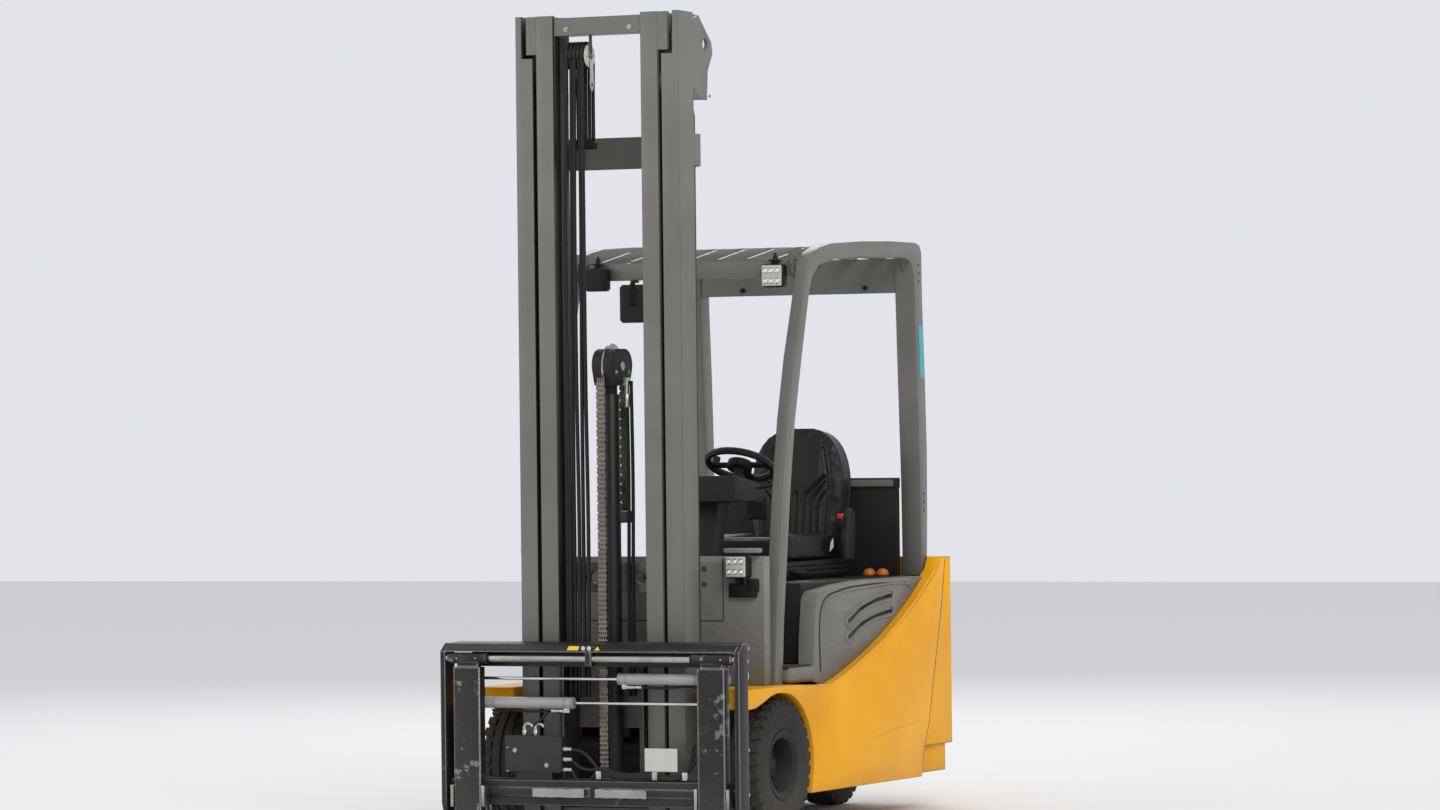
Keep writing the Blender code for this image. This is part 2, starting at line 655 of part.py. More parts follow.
def make_lamps():
    beam_face, cowl_face = 0.385 - GAP, -GAP
    for side, label in ((1, "left"), (-1, "right")):
        upper = softened(block((0.300, 0.385), (beam_face - 0.045, beam_face), (1.868, 1.950)), 0.008, 1)
        piece("upper_lamp_" + label, "lamp", "chassis", [on_side(upper, side)])
        lower = softened(block((0.330, 0.414), (cowl_face - 0.050, cowl_face), (0.866, 0.946)), 0.008, 1)
        piece("lower_lamp_" + label, "lamp", "chassis", [on_side(lower, side)])
    shell = softened(block((-0.262, -0.157), (0.362, 0.384), (1.755, 1.890)), 0.010, 1)
    neck = block((-0.217, -0.203), (0.366, 0.380), (1.880, 1.900))
    stalk = block((-0.217, -0.203), (0.366, 0.410), (1.896, 1.905 - GAP))
    piece("mirror", "dark plastic", "chassis", [shell, neck, stalk])


# Mast

def channel(x_open, x_web, x_back, low, high):
    """A C-section rail, open towards x_open, with its web between x_web and x_back."""
    front, back = MAST_FRONT, RAIL_BACK
    outline = [(x_open, front), (x_back, front), (x_back, back), (x_open, back),
               (x_open, back - FLANGE), (x_web, back - FLANGE), (x_web, front + FLANGE),
               (x_open, front + FLANGE)]
    return prism("Z", outline, low, high)


def make_outer_mast():
    top = MAST_TOP
    web = (MAST_HALF - WEB, MAST_HALF)
    parts, cuts = [], []
    tie_plan = [(MAST_HALF - 0.002, RAIL_BACK - 0.004), (MAST_HALF - 0.002, -0.150), (0.270, -0.095)]
    inner_plan = [(0.262, -0.107), (MAST_HALF - 0.014, -0.155), (MAST_HALF - 0.014, RAIL_BACK - 0.004)]
    ring = tie_plan + [(-x, y) for x, y in reversed(tie_plan)]
    ring += [(-x, y) for x, y in reversed(inner_plan)] + inner_plan
    tie_y = (RAIL_BACK + MOVING, RAIL_BACK + MOVING + 0.012)
    for side in (1, -1):
        parts.append(on_side(channel(OUTER_IN, web[0], web[1], MAST_BOTTOM, MAST_TOP), side))
        foot = [(RAIL_BACK - 0.010, 0.080), (RAIL_BACK - 0.010, 0.300), (PIVOT_Y, PIVOT_Z + 0.040)]
        foot += list(reversed(arc((PIVOT_Y, PIVOT_Z), 0.036, -90, 80, 8)))
        parts.append(on_side(prism("X", foot, 0.252, 0.286), side))
        pin = rod("X", (PIVOT_Y, PIVOT_Z), PIVOT_PIN_R, 0.216, 0.270)
        parts.append(on_side(pin, side))
        stub = rod("X", (CHANNEL_Y, top - 0.234), 0.016, INNER_OUT + 0.004, web[0] + 0.004, 16)
        roller = rod("X", (CHANNEL_Y, top - 0.234), ROLLER_R, INNER_WEB[1] + 0.003, INNER_OUT + 0.008, 24)
        parts += [on_side(stub, side), on_side(roller, side)]
        arm = [(RAIL_BACK - 0.006, top - 0.254), (RAIL_BACK - 0.006, top - 0.024), (-0.160, top - 0.009),
               (-0.060, top - 0.094), (-0.050, top - 0.134), (-0.090, top - 0.194),
               (-0.098, top - 0.294), (-0.150, top - 0.294)]
        parts.append(on_side(prism("X", arm, MAST_HALF - 0.012, MAST_HALF), side))
        for low, high in ((top - 0.294, top - 0.254), (0.330, 0.350)):
            clamp = block((LIFT_X - 0.040, MAST_HALF - 0.001), (tie_y[0], -0.112), (low, high))
            root = block((OUTER_IN + 0.002, MAST_HALF - 0.002), (RAIL_BACK - 0.001, -0.150),
                         (low + 0.001, high - 0.001))
            parts += [on_side(clamp, side), on_side(root, side)]
        lug = block((0.150, 0.164), (tie_y[1] - 0.006, TILT_EYE[0] + 0.024), (0.420, 0.480))
        parts.append(on_side(lug, side))
        eye_pin = rod("X", TILT_EYE, TILT_PIN_R, 0.155, 0.206)
        parts.append(on_side(eye_pin, side))
        cuts.append(on_side(rod("Z", (LIFT_X, LIFT_Y), LIFT_ROD_R + 0.004, top - 0.394, top - 0.194), side))
        cuts.append(on_side(block((0.230, 0.286), (MAST_FRONT - 0.01, MAST_FRONT + FLANGE + 0.001),
                                  (top - 0.144, top + 0.106)), side))
        window = arc((-0.110, top - 0.104), 0.020, 0, 360, 10)[:-1]
        cuts.append(on_side(prism("X", window, 0.290, 0.320), side))
    parts.append(prism("Z", ring, UPPER_TIE[0], UPPER_TIE[1]))
    for low, high in ((0.823, 0.926), (0.360, 0.520)):
        parts.append(block((-0.296, 0.296), tie_y, (low, high)))
        foot = block((OUTER_IN + 0.002, 0.294), (RAIL_BACK - 0.001, tie_y[1] - 0.001),
                     (low + 0.001, high - 0.001))
        parts += both(foot)
    for x in (-0.085, 0.085):
        cuts.append(rod("Y", (x, 0.875), 0.022, -0.230, -0.170))
    piece("outer_mast_frame", "grey paint", "outer_mast", parts, cuts, "MANIFOLD")
    for side, label in ((1, "left"), (-1, "right")):
        barrel = tube("Z", (LIFT_X, LIFT_Y), LIFT_R, LIFT_ROD_R + SLIDE, 0.350 + GAP, LIFT_TOP, 0.020)
        piece("lift_cylinder_" + label, "black paint", "outer_mast", [on_side(barrel, side)])


def make_inner_mast():
    top = MAST_TOP
    parts = []
    head_low = top - 0.059
    for side in (1, -1):
        profile = [(INNER_IN, MAST_FRONT), (INNER_OUT, MAST_FRONT), (INNER_OUT, MAST_FRONT + FLANGE),
                   (INNER_WEB[1], MAST_FRONT + FLANGE), (INNER_WEB[1], RAIL_BACK - FLANGE),
                   (INNER_OUT, RAIL_BACK - FLANGE), (INNER_OUT, RAIL_BACK), (INNER_IN, RAIL_BACK),
                   (INNER_IN, RAIL_BACK - FLANGE), (INNER_WEB[0], RAIL_BACK - FLANGE),
                   (INNER_WEB[0], MAST_FRONT + FLANGE), (INNER_IN, MAST_FRONT + FLANGE)]
        parts.append(on_side(prism("Z", profile, MAST_BOTTOM, MAST_TOP - 0.001), side))
        stub = rod("X", (CHANNEL_Y, 0.150), 0.016, INNER_WEB[0] + 0.004, OUTER_IN + 0.006, 16)
        roller = rod("X", (CHANNEL_Y, 0.150), ROLLER_R, OUTER_IN + 0.003, MAST_HALF - WEB - 0.003, 24)
        parts += [on_side(stub, side), on_side(roller, side)]
        horn = block((INNER_OUT - 0.005, 0.268), (MAST_FRONT + 0.0005, MAST_FRONT + FLANGE - 0.0005),
                     (MAST_TOP - 0.132, MAST_TOP - 0.002))
        parts.append(on_side(horn, side))
        ear = block((0.200, LIFT_X + 0.034), (RAIL_BACK + MOVING, -0.110), (head_low, MAST_TOP - 0.004))
        root = block((0.202, INNER_OUT - 0.002), (RAIL_BACK - 0.010, -0.150),
                     (head_low + 0.001, MAST_TOP - 0.005))
        parts += [on_side(ear, side), on_side(root, side)]
    parts.append(block((-INNER_IN - 0.010, INNER_IN + 0.010), (-0.312, -0.252), (top - 0.070, top - 0.009)))
    parts.append(block((-INNER_IN - 0.010, INNER_IN + 0.010), (-0.306, RAIL_BACK - MOVING),
                       (MAST_BOTTOM + 0.004, 0.095)))
    piece("inner_mast_frame", "grey paint", "inner_mast", parts, solver="MANIFOLD")
    for side, label in ((1, "left"), (-1, "right")):
        lift = rod("Z", (LIFT_X, LIFT_Y), LIFT_ROD_R, LIFT_TOP - 2.075, head_low - GAP)
        piece("lift_rod_" + label, "chrome", "inner_mast", [on_side(lift, side)])
    barrel = tube("Z", (0, FREE_Y), FREE_R, FREE_ROD_R + SLIDE, 0.095 + GAP, FREE_TOP, 0.020)
    anchor = block((-0.020, 0.020), (FREE_Y + FREE_R - 0.004, -0.131), (1.060, 1.100 - GAP))
    piece("free_lift_cylinder", "black paint", "inner_mast", [barrel, anchor])


def make_head():
    low, high = FREE_TOP + 0.030, 1.660
    front, back = -0.3125, -0.147
    middle_z = high - 0.060
    outline = [(front + 0.020, low), (back - 0.020, low)]
    outline += arc((back - 0.055, middle_z), 0.055, -20, 85, 6)
    outline += arc((front + 0.055, middle_z), 0.055, 95, 200, 6)
    shapes = [
        prism("X", outline, 0.004, 0.0375),
        prism("X", outline, -0.0375, -0.004),
        block((-0.010, 0.010), (front + 0.030, back - 0.030), (low + 0.003, high - 0.030)),
        rod("Z", (0, FREE_Y), FREE_ROD_R, 0.380, low + 0.006),
    ]
    piece("free_lift_head", "dark plastic", "free_lift_head", shapes)
    chain = block((-0.017, 0.017), (front - 0.014, front - GAP), (0.210, middle_z))
    piece("lift_chain_front", "steel", "free_lift_head", [chain])
    rear = block((-0.017, 0.017), (back + GAP, back + 0.013), (1.100, middle_z))
    piece("lift_chain_rear", "steel", "inner_mast", [rear])


# Carriage, attachment and forks

def make_carriage():
    bar_back = CARRIAGE_FRONT + 0.030
    shapes = [
        block((-0.480, 0.480), (CARRIAGE_FRONT, bar_back), (0.575, 0.6497)),
        block((-0.480, 0.480), (CARRIAGE_FRONT, bar_back), (0.120, 0.195)),
        block((-0.030, 0.030), (bar_back - 0.005, -0.300), (0.130, 0.210 - GAP)),
    ]
    for side in (1, -1):
        plate = block((0.143, 0.158), (bar_back - 0.006, RAIL_BACK - FLANGE), (0.110, 0.620))
        shapes.append(on_side(plate, side))
        for z in (0.170, 0.540):
            stub = rod("X", (CHANNEL_Y, z), 0.016, 0.150, INNER_IN + 0.004, 16)
            roller = rod("X", (CHANNEL_Y, z), ROLLER_R, 0.163, INNER_WEB[0] - 0.003, 24)
            shapes += [on_side(stub, side), on_side(roller, side)]
    piece("fork_carriage", "black paint", "carriage", shapes, solver="MANIFOLD")


def make_attachment():
    back = FRAME_BACK
    plate = (FRAME_HALF - 0.018, FRAME_HALF)
    inner = plate[0]
    hook = [(-0.440, 0.627), (-0.436, 0.636), (-0.405, FRAME_TOP), (-0.330, FRAME_TOP + 0.004),
            (-0.330, 0.6503), (back, 0.6503), (back, 0.627)]
    shapes = [
        prism("X", hook, -inner - 0.002, inner + 0.002),
        block((-inner - 0.002, inner + 0.002), (-0.401, back), (0.105, 0.190)),
    ]
    side_plan = [(-0.442, 0.110), (-0.442, 0.628), (-0.406, FRAME_TOP), (back, FRAME_TOP), (back, 0.062),
                 (-0.425, 0.062)]
    pad_z = (0.137, 0.164)
    for side in (1, -1):
        shapes.append(on_side(prism("X", side_plan, *plate), side))
        pad = block((0.020, 0.530), (-0.4075, -0.398), pad_z)
        shapes.append(on_side(pad, side))
    bracket = block((-0.010, 0.010), (-0.444, -0.400), (0.585, 0.632))
    shapes.append(bracket)
    bore = rod("X", (FORK_FRONT + FORK_THICK / 2, SHAFT_Z), SHAFT_R + GAP, -0.100, 0.100)
    piece("attachment_frame", "black paint", "attachment", shapes, [bore])
    shaft = rod("X", (FORK_FRONT + FORK_THICK / 2, SHAFT_Z), SHAFT_R, -inner + GAP, inner - GAP)
    piece("fork_shaft", "chrome", "attachment", [shaft])
    box = softened(block((-0.340, -0.125), (-0.402, back), (0.215, 0.341)), 0.004, 1)
    foot = block((-0.300, -0.165), (-0.398, back - 0.003), (0.190 + GAP, 0.222))
    piece("valve_block", "black paint", "attachment", [box, foot])


def make_forks():
    half = FORK_WIDTH / 2
    rear = FORK_FRONT + FORK_THICK
    shaft_y = FORK_FRONT + FORK_THICK / 2
    rod_y = -0.388
    upper_z, lower_z = 0.5355, 0.4525
    tip = -FORK_REACH
    for side, label in ((1, "left"), (-1, "right")):
        low, high = FORK_X - half, FORK_X + half
        shank = [(rear, FORK_TOP), (FORK_FRONT, FORK_TOP), (FORK_FRONT, 0.078), (FORK_FRONT - 0.010, 0.058),
                 (FORK_FRONT - 0.030, 0.051), (FORK_FRONT - 0.030, FORK_UNDER),
                 (rear - 0.025, FORK_UNDER), (rear - 0.008, FORK_UNDER + 0.010), (rear, FORK_UNDER + 0.030)]
        blade = loft([
            (FORK_FRONT - 0.020, low, high, FORK_UNDER, 0.051),
            (FORK_FRONT - 0.700, low, high, FORK_UNDER, 0.036),
            (tip + 0.070, low, high, FORK_UNDER, 0.024),
            (tip + 0.020, low + 0.014, high - 0.014, FORK_UNDER, 0.022),
            (tip, low + 0.035, high - 0.035, FORK_UNDER + 0.002, 0.020),
        ])
        sleeve = rod("X", (shaft_y, SHAFT_Z), 0.019, FORK_X - 0.075, FORK_X + 0.075)
        neck = block((low + 0.010, high - 0.010), (shaft_y - 0.012, shaft_y + 0.012), (FORK_TOP - 0.01, 0.592))
        hook = block((low - 0.020, high + 0.020), (rear - 0.002, FRAME_BACK - 0.002), (0.062, 0.105 - SLIDE))
        lug_z = lower_z if side > 0 else upper_z
        lug = block((FORK_X - 0.015, FORK_X + 0.015), (rear - 0.004, -0.376), (lug_z - 0.012, lug_z + 0.012))
        shapes = [prism("X", shank, low, high), blade, sleeve, neck, hook, lug]
        bore = rod("X", (shaft_y, SHAFT_Z), SHAFT_R + SLIDE, FORK_X - 0.2, FORK_X + 0.2)
        piece("fork_" + label, "black paint", "fork_" + label,
              [on_side(s, side) for s in shapes], [on_side(bore, side)])
        barrel_z = upper_z if side > 0 else lower_z
        barrel_r = 0.0195
        end = 0.090 if side > 0 else 0.080
        barrel = tube("X", (rod_y, barrel_z), barrel_r, POSITIONER_ROD_R + SLIDE, -0.500, -end, 0.012, 16)
        name = "positioner_cylinder_" + label
        piece(name, "silver paint", "fork_" + label, [on_side(barrel, -side)])
        bar = rod("X", (rod_y, lug_z), POSITIONER_ROD_R, -end - 0.040, FORK_X - 0.015 - GAP, 12)
        piece("positioner_rod_" + label, "chrome", "fork_" + label, [on_side(bar, side)])


# Tilt cylinders

def make_tilt_cylinders():
    base, eye = Vector((0, *TILT_BASE)), Vector((0, *TILT_EYE))
    length = (eye - base).length
    slope = -(Vector((0, -1, 0)).angle(eye - base))
    for side, label in ((1, "left"), (-1, "right")):
        x = TILT_X
        origin = (x, *TILT_BASE)
        body_low, body_high = -TILT_BASE[0] + 0.030, -TILT_BASE[0] + length - 0.095
        barrel = tube("Y", (x, TILT_BASE[1]), TILT_R, TILT_ROD_R + SLIDE, -body_low, -body_high, -0.015)
        ear = rod("X", TILT_BASE, 0.028, x - 0.020, x + 0.020)
        neck = block((x - 0.016, x + 0.016), (TILT_BASE[0] - 0.040, TILT_BASE[0]),
                     (TILT_BASE[1] - 0.022, TILT_BASE[1] + 0.022))
        hole = rod("X", TILT_BASE, TILT_PIN_R + SLIDE, x - 0.05, x + 0.05)
        shapes = [turned(s, slope, origin) for s in (ear, neck, barrel)]
        piece("tilt_cylinder_" + label, "black paint", "tilt_barrel_" + label,
              [on_side(s, side) for s in shapes], [on_side(turned(hole, slope, origin), side)])
        eye_y = TILT_BASE[0] - length
        stem = rod("Y", (x, TILT_BASE[1]), TILT_ROD_R, eye_y + 0.010, eye_y + 0.190)
        ring = rod("X", (eye_y, TILT_BASE[1]), 0.026, x - 0.015, x + 0.015)
        bore = rod("X", (eye_y, TILT_BASE[1]), TILT_PIN_R + 0.0015, x - 0.05, x + 0.05)
        shapes = [turned(s, slope, origin) for s in (ring, stem)]
        piece("tilt_rod_" + label, "chrome", "tilt_rod_" + label,
              [on_side(s, side) for s in shapes], [on_side(turned(bore, slope, origin), side)])


def main():
    clear_scene()
    make_axes()
    make_front_wheels()
    make_front_axle()
    make_rear_wheels()
    make_turntable()
    make_chassis()
    make_side_panels()
    make_side_covers()
    make_hood()
    make_counterweight()
    make_cowl()
    make_guard()
    make_seat()
    make_steering()
    make_lamps()
    make_outer_mast()
    make_inner_mast()
    make_head()
    make_carriage()
    make_attachment()
    make_forks()
    make_tilt_cylinders()


main()
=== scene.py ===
"""Finishes and small fittings of a three-wheel electric forklift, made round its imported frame.

Metres, +Z up, +X on the truck's left, and the truck drives towards -Y.
"""

import random
from math import cos, pi, radians, sin

import bpy
from bpy.props import FloatProperty, FloatVectorProperty, IntProperty, PointerProperty
from mathutils import Matrix, Vector


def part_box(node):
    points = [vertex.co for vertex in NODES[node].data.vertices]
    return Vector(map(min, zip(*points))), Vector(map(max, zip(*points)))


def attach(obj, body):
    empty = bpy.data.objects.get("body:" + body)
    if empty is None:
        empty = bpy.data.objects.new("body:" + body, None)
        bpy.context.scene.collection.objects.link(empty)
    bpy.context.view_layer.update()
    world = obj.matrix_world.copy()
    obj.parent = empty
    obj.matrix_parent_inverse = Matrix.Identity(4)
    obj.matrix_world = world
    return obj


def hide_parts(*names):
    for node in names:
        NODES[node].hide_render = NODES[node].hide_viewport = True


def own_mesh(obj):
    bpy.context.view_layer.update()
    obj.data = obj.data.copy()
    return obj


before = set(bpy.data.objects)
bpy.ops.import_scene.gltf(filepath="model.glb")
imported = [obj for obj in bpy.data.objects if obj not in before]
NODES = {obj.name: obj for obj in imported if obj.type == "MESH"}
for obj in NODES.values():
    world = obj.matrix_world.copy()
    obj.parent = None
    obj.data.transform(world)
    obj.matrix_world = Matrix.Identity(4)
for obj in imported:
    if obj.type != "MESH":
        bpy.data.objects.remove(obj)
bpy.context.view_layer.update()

bl_info = {
    "name": "Forklift Finisher",
    "version": (1, 0, 0),
    "blender": (4, 5, 0),
    "location": "View3D > Sidebar > Forklift",
    "description": "Dresses an electric forklift's frame with its finishes and fittings",
    "category": "Add Mesh",
}

X_AXIS = Vector((1, 0, 0))
Z_AXIS = Vector((0, 0, 1))
SIDES = (1, -1)
SIDE_NAMES = {1: "left", -1: "right"}


# ---------------------------------------------------------------- user values

class ForkliftPaint(bpy.types.PropertyGroup):
    """Colours and wear of the truck's finishes."""

    body_yellow: FloatVectorProperty(
        name="Body yellow", description="Colour of the painted body and counterweight",
        subtype="COLOR", size=3, min=0, max=1, default=(0.98, 0.42, 0.003))
    mast_grey: FloatVectorProperty(
        name="Mast grey", description="Colour of the mast and the overhead guard",
        subtype="COLOR", size=3, min=0, max=1, default=(0.150, 0.146, 0.130))
    cover_grey: FloatVectorProperty(
        name="Cover grey", description="Colour of the moulded side covers and the cowl",
        subtype="COLOR", size=3, min=0, max=1, default=(0.200, 0.196, 0.178))
    steel_black: FloatVectorProperty(
        name="Steel black", description="Colour of the black painted steel",
        subtype="COLOR", size=3, min=0, max=1, default=(0.009, 0.009, 0.0095))
    wear: FloatProperty(
        name="Wear", description="How far the paint is worn off along its edges",
        subtype="FACTOR", min=0, max=1, default=0.5)


class ForkliftFittings(bpy.types.PropertyGroup):
    """Sizes of the truck's small fittings."""

    hose_diameter: FloatProperty(
        name="Hose diameter", description="Outer diameter of the mast's hydraulic hoses",
        unit="LENGTH", min=0.006, max=0.02, default=0.0135)
    tread_depth: FloatProperty(
        name="Tread depth", description="Depth of the grooves in the tyres' shoulders",
        unit="LENGTH", min=0.002, max=0.02, default=0.009)
    tread_blocks: IntProperty(
        name="Tread blocks", description="Blocks around each shoulder of a front tyre",
        min=12, max=60, default=30)
    leaf_pitch: FloatProperty(
        name="Leaf pitch", description="Pin spacing of the lifting chains",
        unit="LENGTH", min=0.01, max=0.03, default=0.01588)


class ForkliftStudio(bpy.types.PropertyGroup):
    """The camera and the light around the truck."""

    lens: FloatProperty(
        name="Lens", description="Focal length of the camera, in millimetres",
        min=20, max=300, default=143.1)
    key_power: FloatProperty(
        name="Key power", description="Power of the large key light",
        unit="POWER", min=0, max=20000, default=480)
    sky_strength: FloatProperty(
        name="Sky strength", description="Strength of the even light from all round",
        min=0, max=5, default=0.82)


# ---------------------------------------------------------------- shader groups

def new_group(name, inputs, outputs):
    """A shader node group with named sockets: {name: (kind, default)}."""
    group = bpy.data.node_groups.new(name, "ShaderNodeTree")
    for label, (kind, default) in inputs.items():
        socket = group.interface.new_socket(label, in_out="INPUT", socket_type="NodeSocket" + kind)
        if default is not None:
            socket.default_value = default
    for label, kind in outputs.items():
        group.interface.new_socket(label, in_out="OUTPUT", socket_type="NodeSocket" + kind)
    start = group.nodes.new("NodeGroupInput")
    end = group.nodes.new("NodeGroupOutput")
    return group, start.outputs, end.inputs


def feed(tree, made, values):
    """Sets or links a node's inputs from {name or number: value or socket}."""
    for label, value in values.items():
        if isinstance(value, bpy.types.NodeSocket):
            tree.links.new(value, made.inputs[label])
        else:
            made.inputs[label].default_value = value


def node(tree, kind, values=None, **settings):
    """A node of that kind with its settings, and values or links for its inputs."""
    made = tree.nodes.new("ShaderNode" + kind)
    for label, value in settings.items():
        setattr(made, label, value)
    feed(tree, made, values or {})
    return made


def math(tree, operation, a, b=0.5, clamp=False):
    """The result of that operation on a and b."""
    made = node(tree, "Math", {0: a, 1: b}, operation=operation)
    made.use_clamp = clamp
    return made.outputs[0]


def times(tree, a, b, clamp=False):
    """a times b."""
    return math(tree, "MULTIPLY", a, b, clamp)


def plus(tree, a, b, clamp=False):
    """a and b together."""
    return math(tree, "ADD", a, b, clamp)


def mixed(tree, factor, a, b):
    """Two colours mixed by factor."""
    made = tree.nodes.new("ShaderNodeMix")
    made.data_type = "RGBA"
    feed(tree, made, {0: factor, 6: a, 7: b})
    return made.outputs[2]


def ramp(tree, value, low, high, start=0.0, end=1.0):
    """The value stretched from low..high to start..end, and held at both ends."""
    made = node(tree, "MapRange", {0: value, 1: low, 2: high, 3: start, 4: end})
    made.clamp = True
    return made.outputs[0]


def here(tree):
    """The place on the truck, which every pattern follows."""
    return node(tree, "TexCoord").outputs["Object"]


def noise(tree, place, scale, detail=4.0, rough=0.55, stretch=None):
    if stretch:
        place = node(tree, "Mapping", {"Vector": place, "Scale": stretch}).outputs[0]
    values = {"Vector": place, "Scale": scale, "Detail": detail, "Roughness": rough}
    return node(tree, "TexNoise", values).outputs[0]


def make_edge_wear():
    """Bare edges and scattered chips: Mask is 1 where the paint is gone."""
    group, given, out = new_group(
        "Edge Wear",
        {"Width": ("Float", 0.004), "Amount": ("Float", 0.5), "Chip Scale": ("Float", 60.0)},
        {"Mask": "Float", "Edge": "Float", "Normal": "Vector"})
    place = here(group)
    soft = node(group, "Bevel", {"Radius": given["Width"]}, samples=4)
    flat = node(group, "NewGeometry").outputs["Normal"]
    dot = node(group, "VectorMath", {0: soft.outputs[0], 1: flat}, operation="DOT_PRODUCT").outputs["Value"]
    edge = ramp(group, dot, 0.995, 0.86)
    fine = noise(group, place, given["Chip Scale"], 6.0, 0.65)
    broad = noise(group, place, 7.0, 3.0)
    patchy = plus(group, times(group, fine, 0.7), times(group, broad, 0.55))
    reach = plus(group, times(group, edge, 0.62), times(group, given["Amount"], 0.45))
    worn = math(group, "SUBTRACT", plus(group, reach, patchy), 1.02)
    group.links.new(times(group, worn, 9.0, clamp=True), out["Mask"])
    group.links.new(edge, out["Edge"])
    group.links.new(soft.outputs[0], out["Normal"])
    return group


def make_dust():
    """Pale dust that settles low down and on upward faces, in clouds and streaks."""
    group, given, out = new_group(
        "Dust",
        {"Color": ("Color", (0.5, 0.5, 0.5, 1)), "Dust Color": ("Color", (0.10, 0.09, 0.075, 1)),
         "Amount": ("Float", 0.4), "Height": ("Float", 0.6)},
        {"Color": "Color", "Mask": "Float"})
    place = here(group)
    split = node(group, "SeparateXYZ", {0: place})
    up = node(group, "SeparateXYZ", {0: node(group, "NewGeometry").outputs["Normal"]}).outputs[2]
    low = ramp(group, split.outputs[2], given["Height"], 0.0)
    top = ramp(group, up, 0.55, 1.0, 0.0, 0.20)
    cloud = noise(group, place, 5.0, 6.0, 0.6)
    streak = noise(group, place, 26.0, 4.0, 0.6, (1.0, 1.0, 0.09))
    mottle = plus(group, times(group, cloud, 0.9), times(group, streak, 0.5))
    amount = times(group, plus(group, plus(group, low, top), 0.16), given["Amount"])
    mask = times(group, amount, mottle, clamp=True)
    group.links.new(mixed(group, mask, given["Color"], given["Dust Color"]), out["Color"])
    group.links.new(mask, out["Mask"])
    return group


def make_grain():
    """Fine surface relief: orange peel in paint, or the pebbled face of a moulding."""
    group, given, out = new_group(
        "Grain", {"Scale": ("Float", 900.0), "Depth": ("Float", 0.3)}, {"Height": "Float"})
    place = here(group)
    fine = noise(group, place, given["Scale"], 2.0)
    wavy = noise(group, place, times(group, given["Scale"], 0.22), 2.0)
    both = plus(group, times(group, fine, 0.6), times(group, wavy, 0.4))
    group.links.new(times(group, both, given["Depth"]), out["Height"])
    return group


def make_scratches():
    """Long fine scratches along one direction, with a mask that fades them in patches."""
    group, given, out = new_group(
        "Scratches", {"Stretch": ("Vector", (1.0, 0.03, 1.0)), "Amount": ("Float", 0.5)}, {"Mask": "Float"})
    place = here(group)
    turned = node(group, "Mapping", {"Vector": place, "Scale": given["Stretch"]}).outputs[0]
    lines = node(group, "TexNoise", {"Vector": turned, "Scale": 160.0, "Detail": 3.0}).outputs[0]
    thin = ramp(group, lines, 0.60, 0.66)
    patch = ramp(group, noise(group, place, 4.0, 3.0), 0.42, 0.62)
    broken = times(group, thin, patch)
    group.links.new(times(group, broken, given["Amount"], clamp=True), out["Mask"])
    return group


def make_hide_grain():
    """Pebble grain of vinyl, with softer wrinkles."""
    group, given, out = new_group("Hide Grain", {"Scale": ("Float", 420.0)}, {"Height": "Float"})
    place = here(group)
    cells = node(group, "TexVoronoi", {"Vector": place, "Scale": given["Scale"]}, feature="SMOOTH_F1")
    pebble = ramp(group, cells.outputs["Distance"], 0.0, 0.7)
    folds = noise(group, place, 30.0, 3.0)
    total = plus(group, times(group, pebble, 0.35), times(group, folds, 0.5))
    group.links.new(total, out["Height"])
    return group


GROUPS = {}


def make_groups():
    GROUPS["wear"] = make_edge_wear()
    GROUPS["dust"] = make_dust()
    GROUPS["grain"] = make_grain()
    GROUPS["scratches"] = make_scratches()
    GROUPS["hide"] = make_hide_grain()


def use(tree, name, values):
    """The outputs of one of the shader groups, fed with those values."""
    made = tree.nodes.new("ShaderNodeGroup")
    made.node_tree = GROUPS[name]
    feed(tree, made, values)
    return made.outputs


# ---------------------------------------------------------------- finishes

MATERIALS = {}


def surface(name):
    """A new material and its Principled shader, kept under that name."""
    made = bpy.data.materials.new(name)
    made.use_nodes = True
    MATERIALS[name] = made
    tree = made.node_tree
    shader = next(n for n in tree.nodes if n.type == "BSDF_PRINCIPLED")
    return tree, shader


def bump(tree, shader, height, distance, base=None):
    """Gives the shader a relief of that height, on top of the base normal where there is one."""
    values = {"Height": height, "Distance": distance, "Strength": 1.0}
    if base is not None:
        values["Normal"] = base
    tree.links.new(node(tree, "Bump", values).outputs[0], shader.inputs["Normal"])


def color(value):
    """Red, green and blue with full opacity."""
    return (*value, 1.0)


def inward_faces(tree):
    """1 on the faces that look at the truck's middle, which get painted shade."""
    side = math(tree, "SIGN", node(tree, "SeparateXYZ", {0: here(tree)}).outputs[0], 0.0)
    aim = node(tree, "SeparateXYZ", {0: node(tree, "NewGeometry").outputs["Normal"]}).outputs[0]
    return ramp(tree, times(tree, side, aim), -0.45, -0.75)


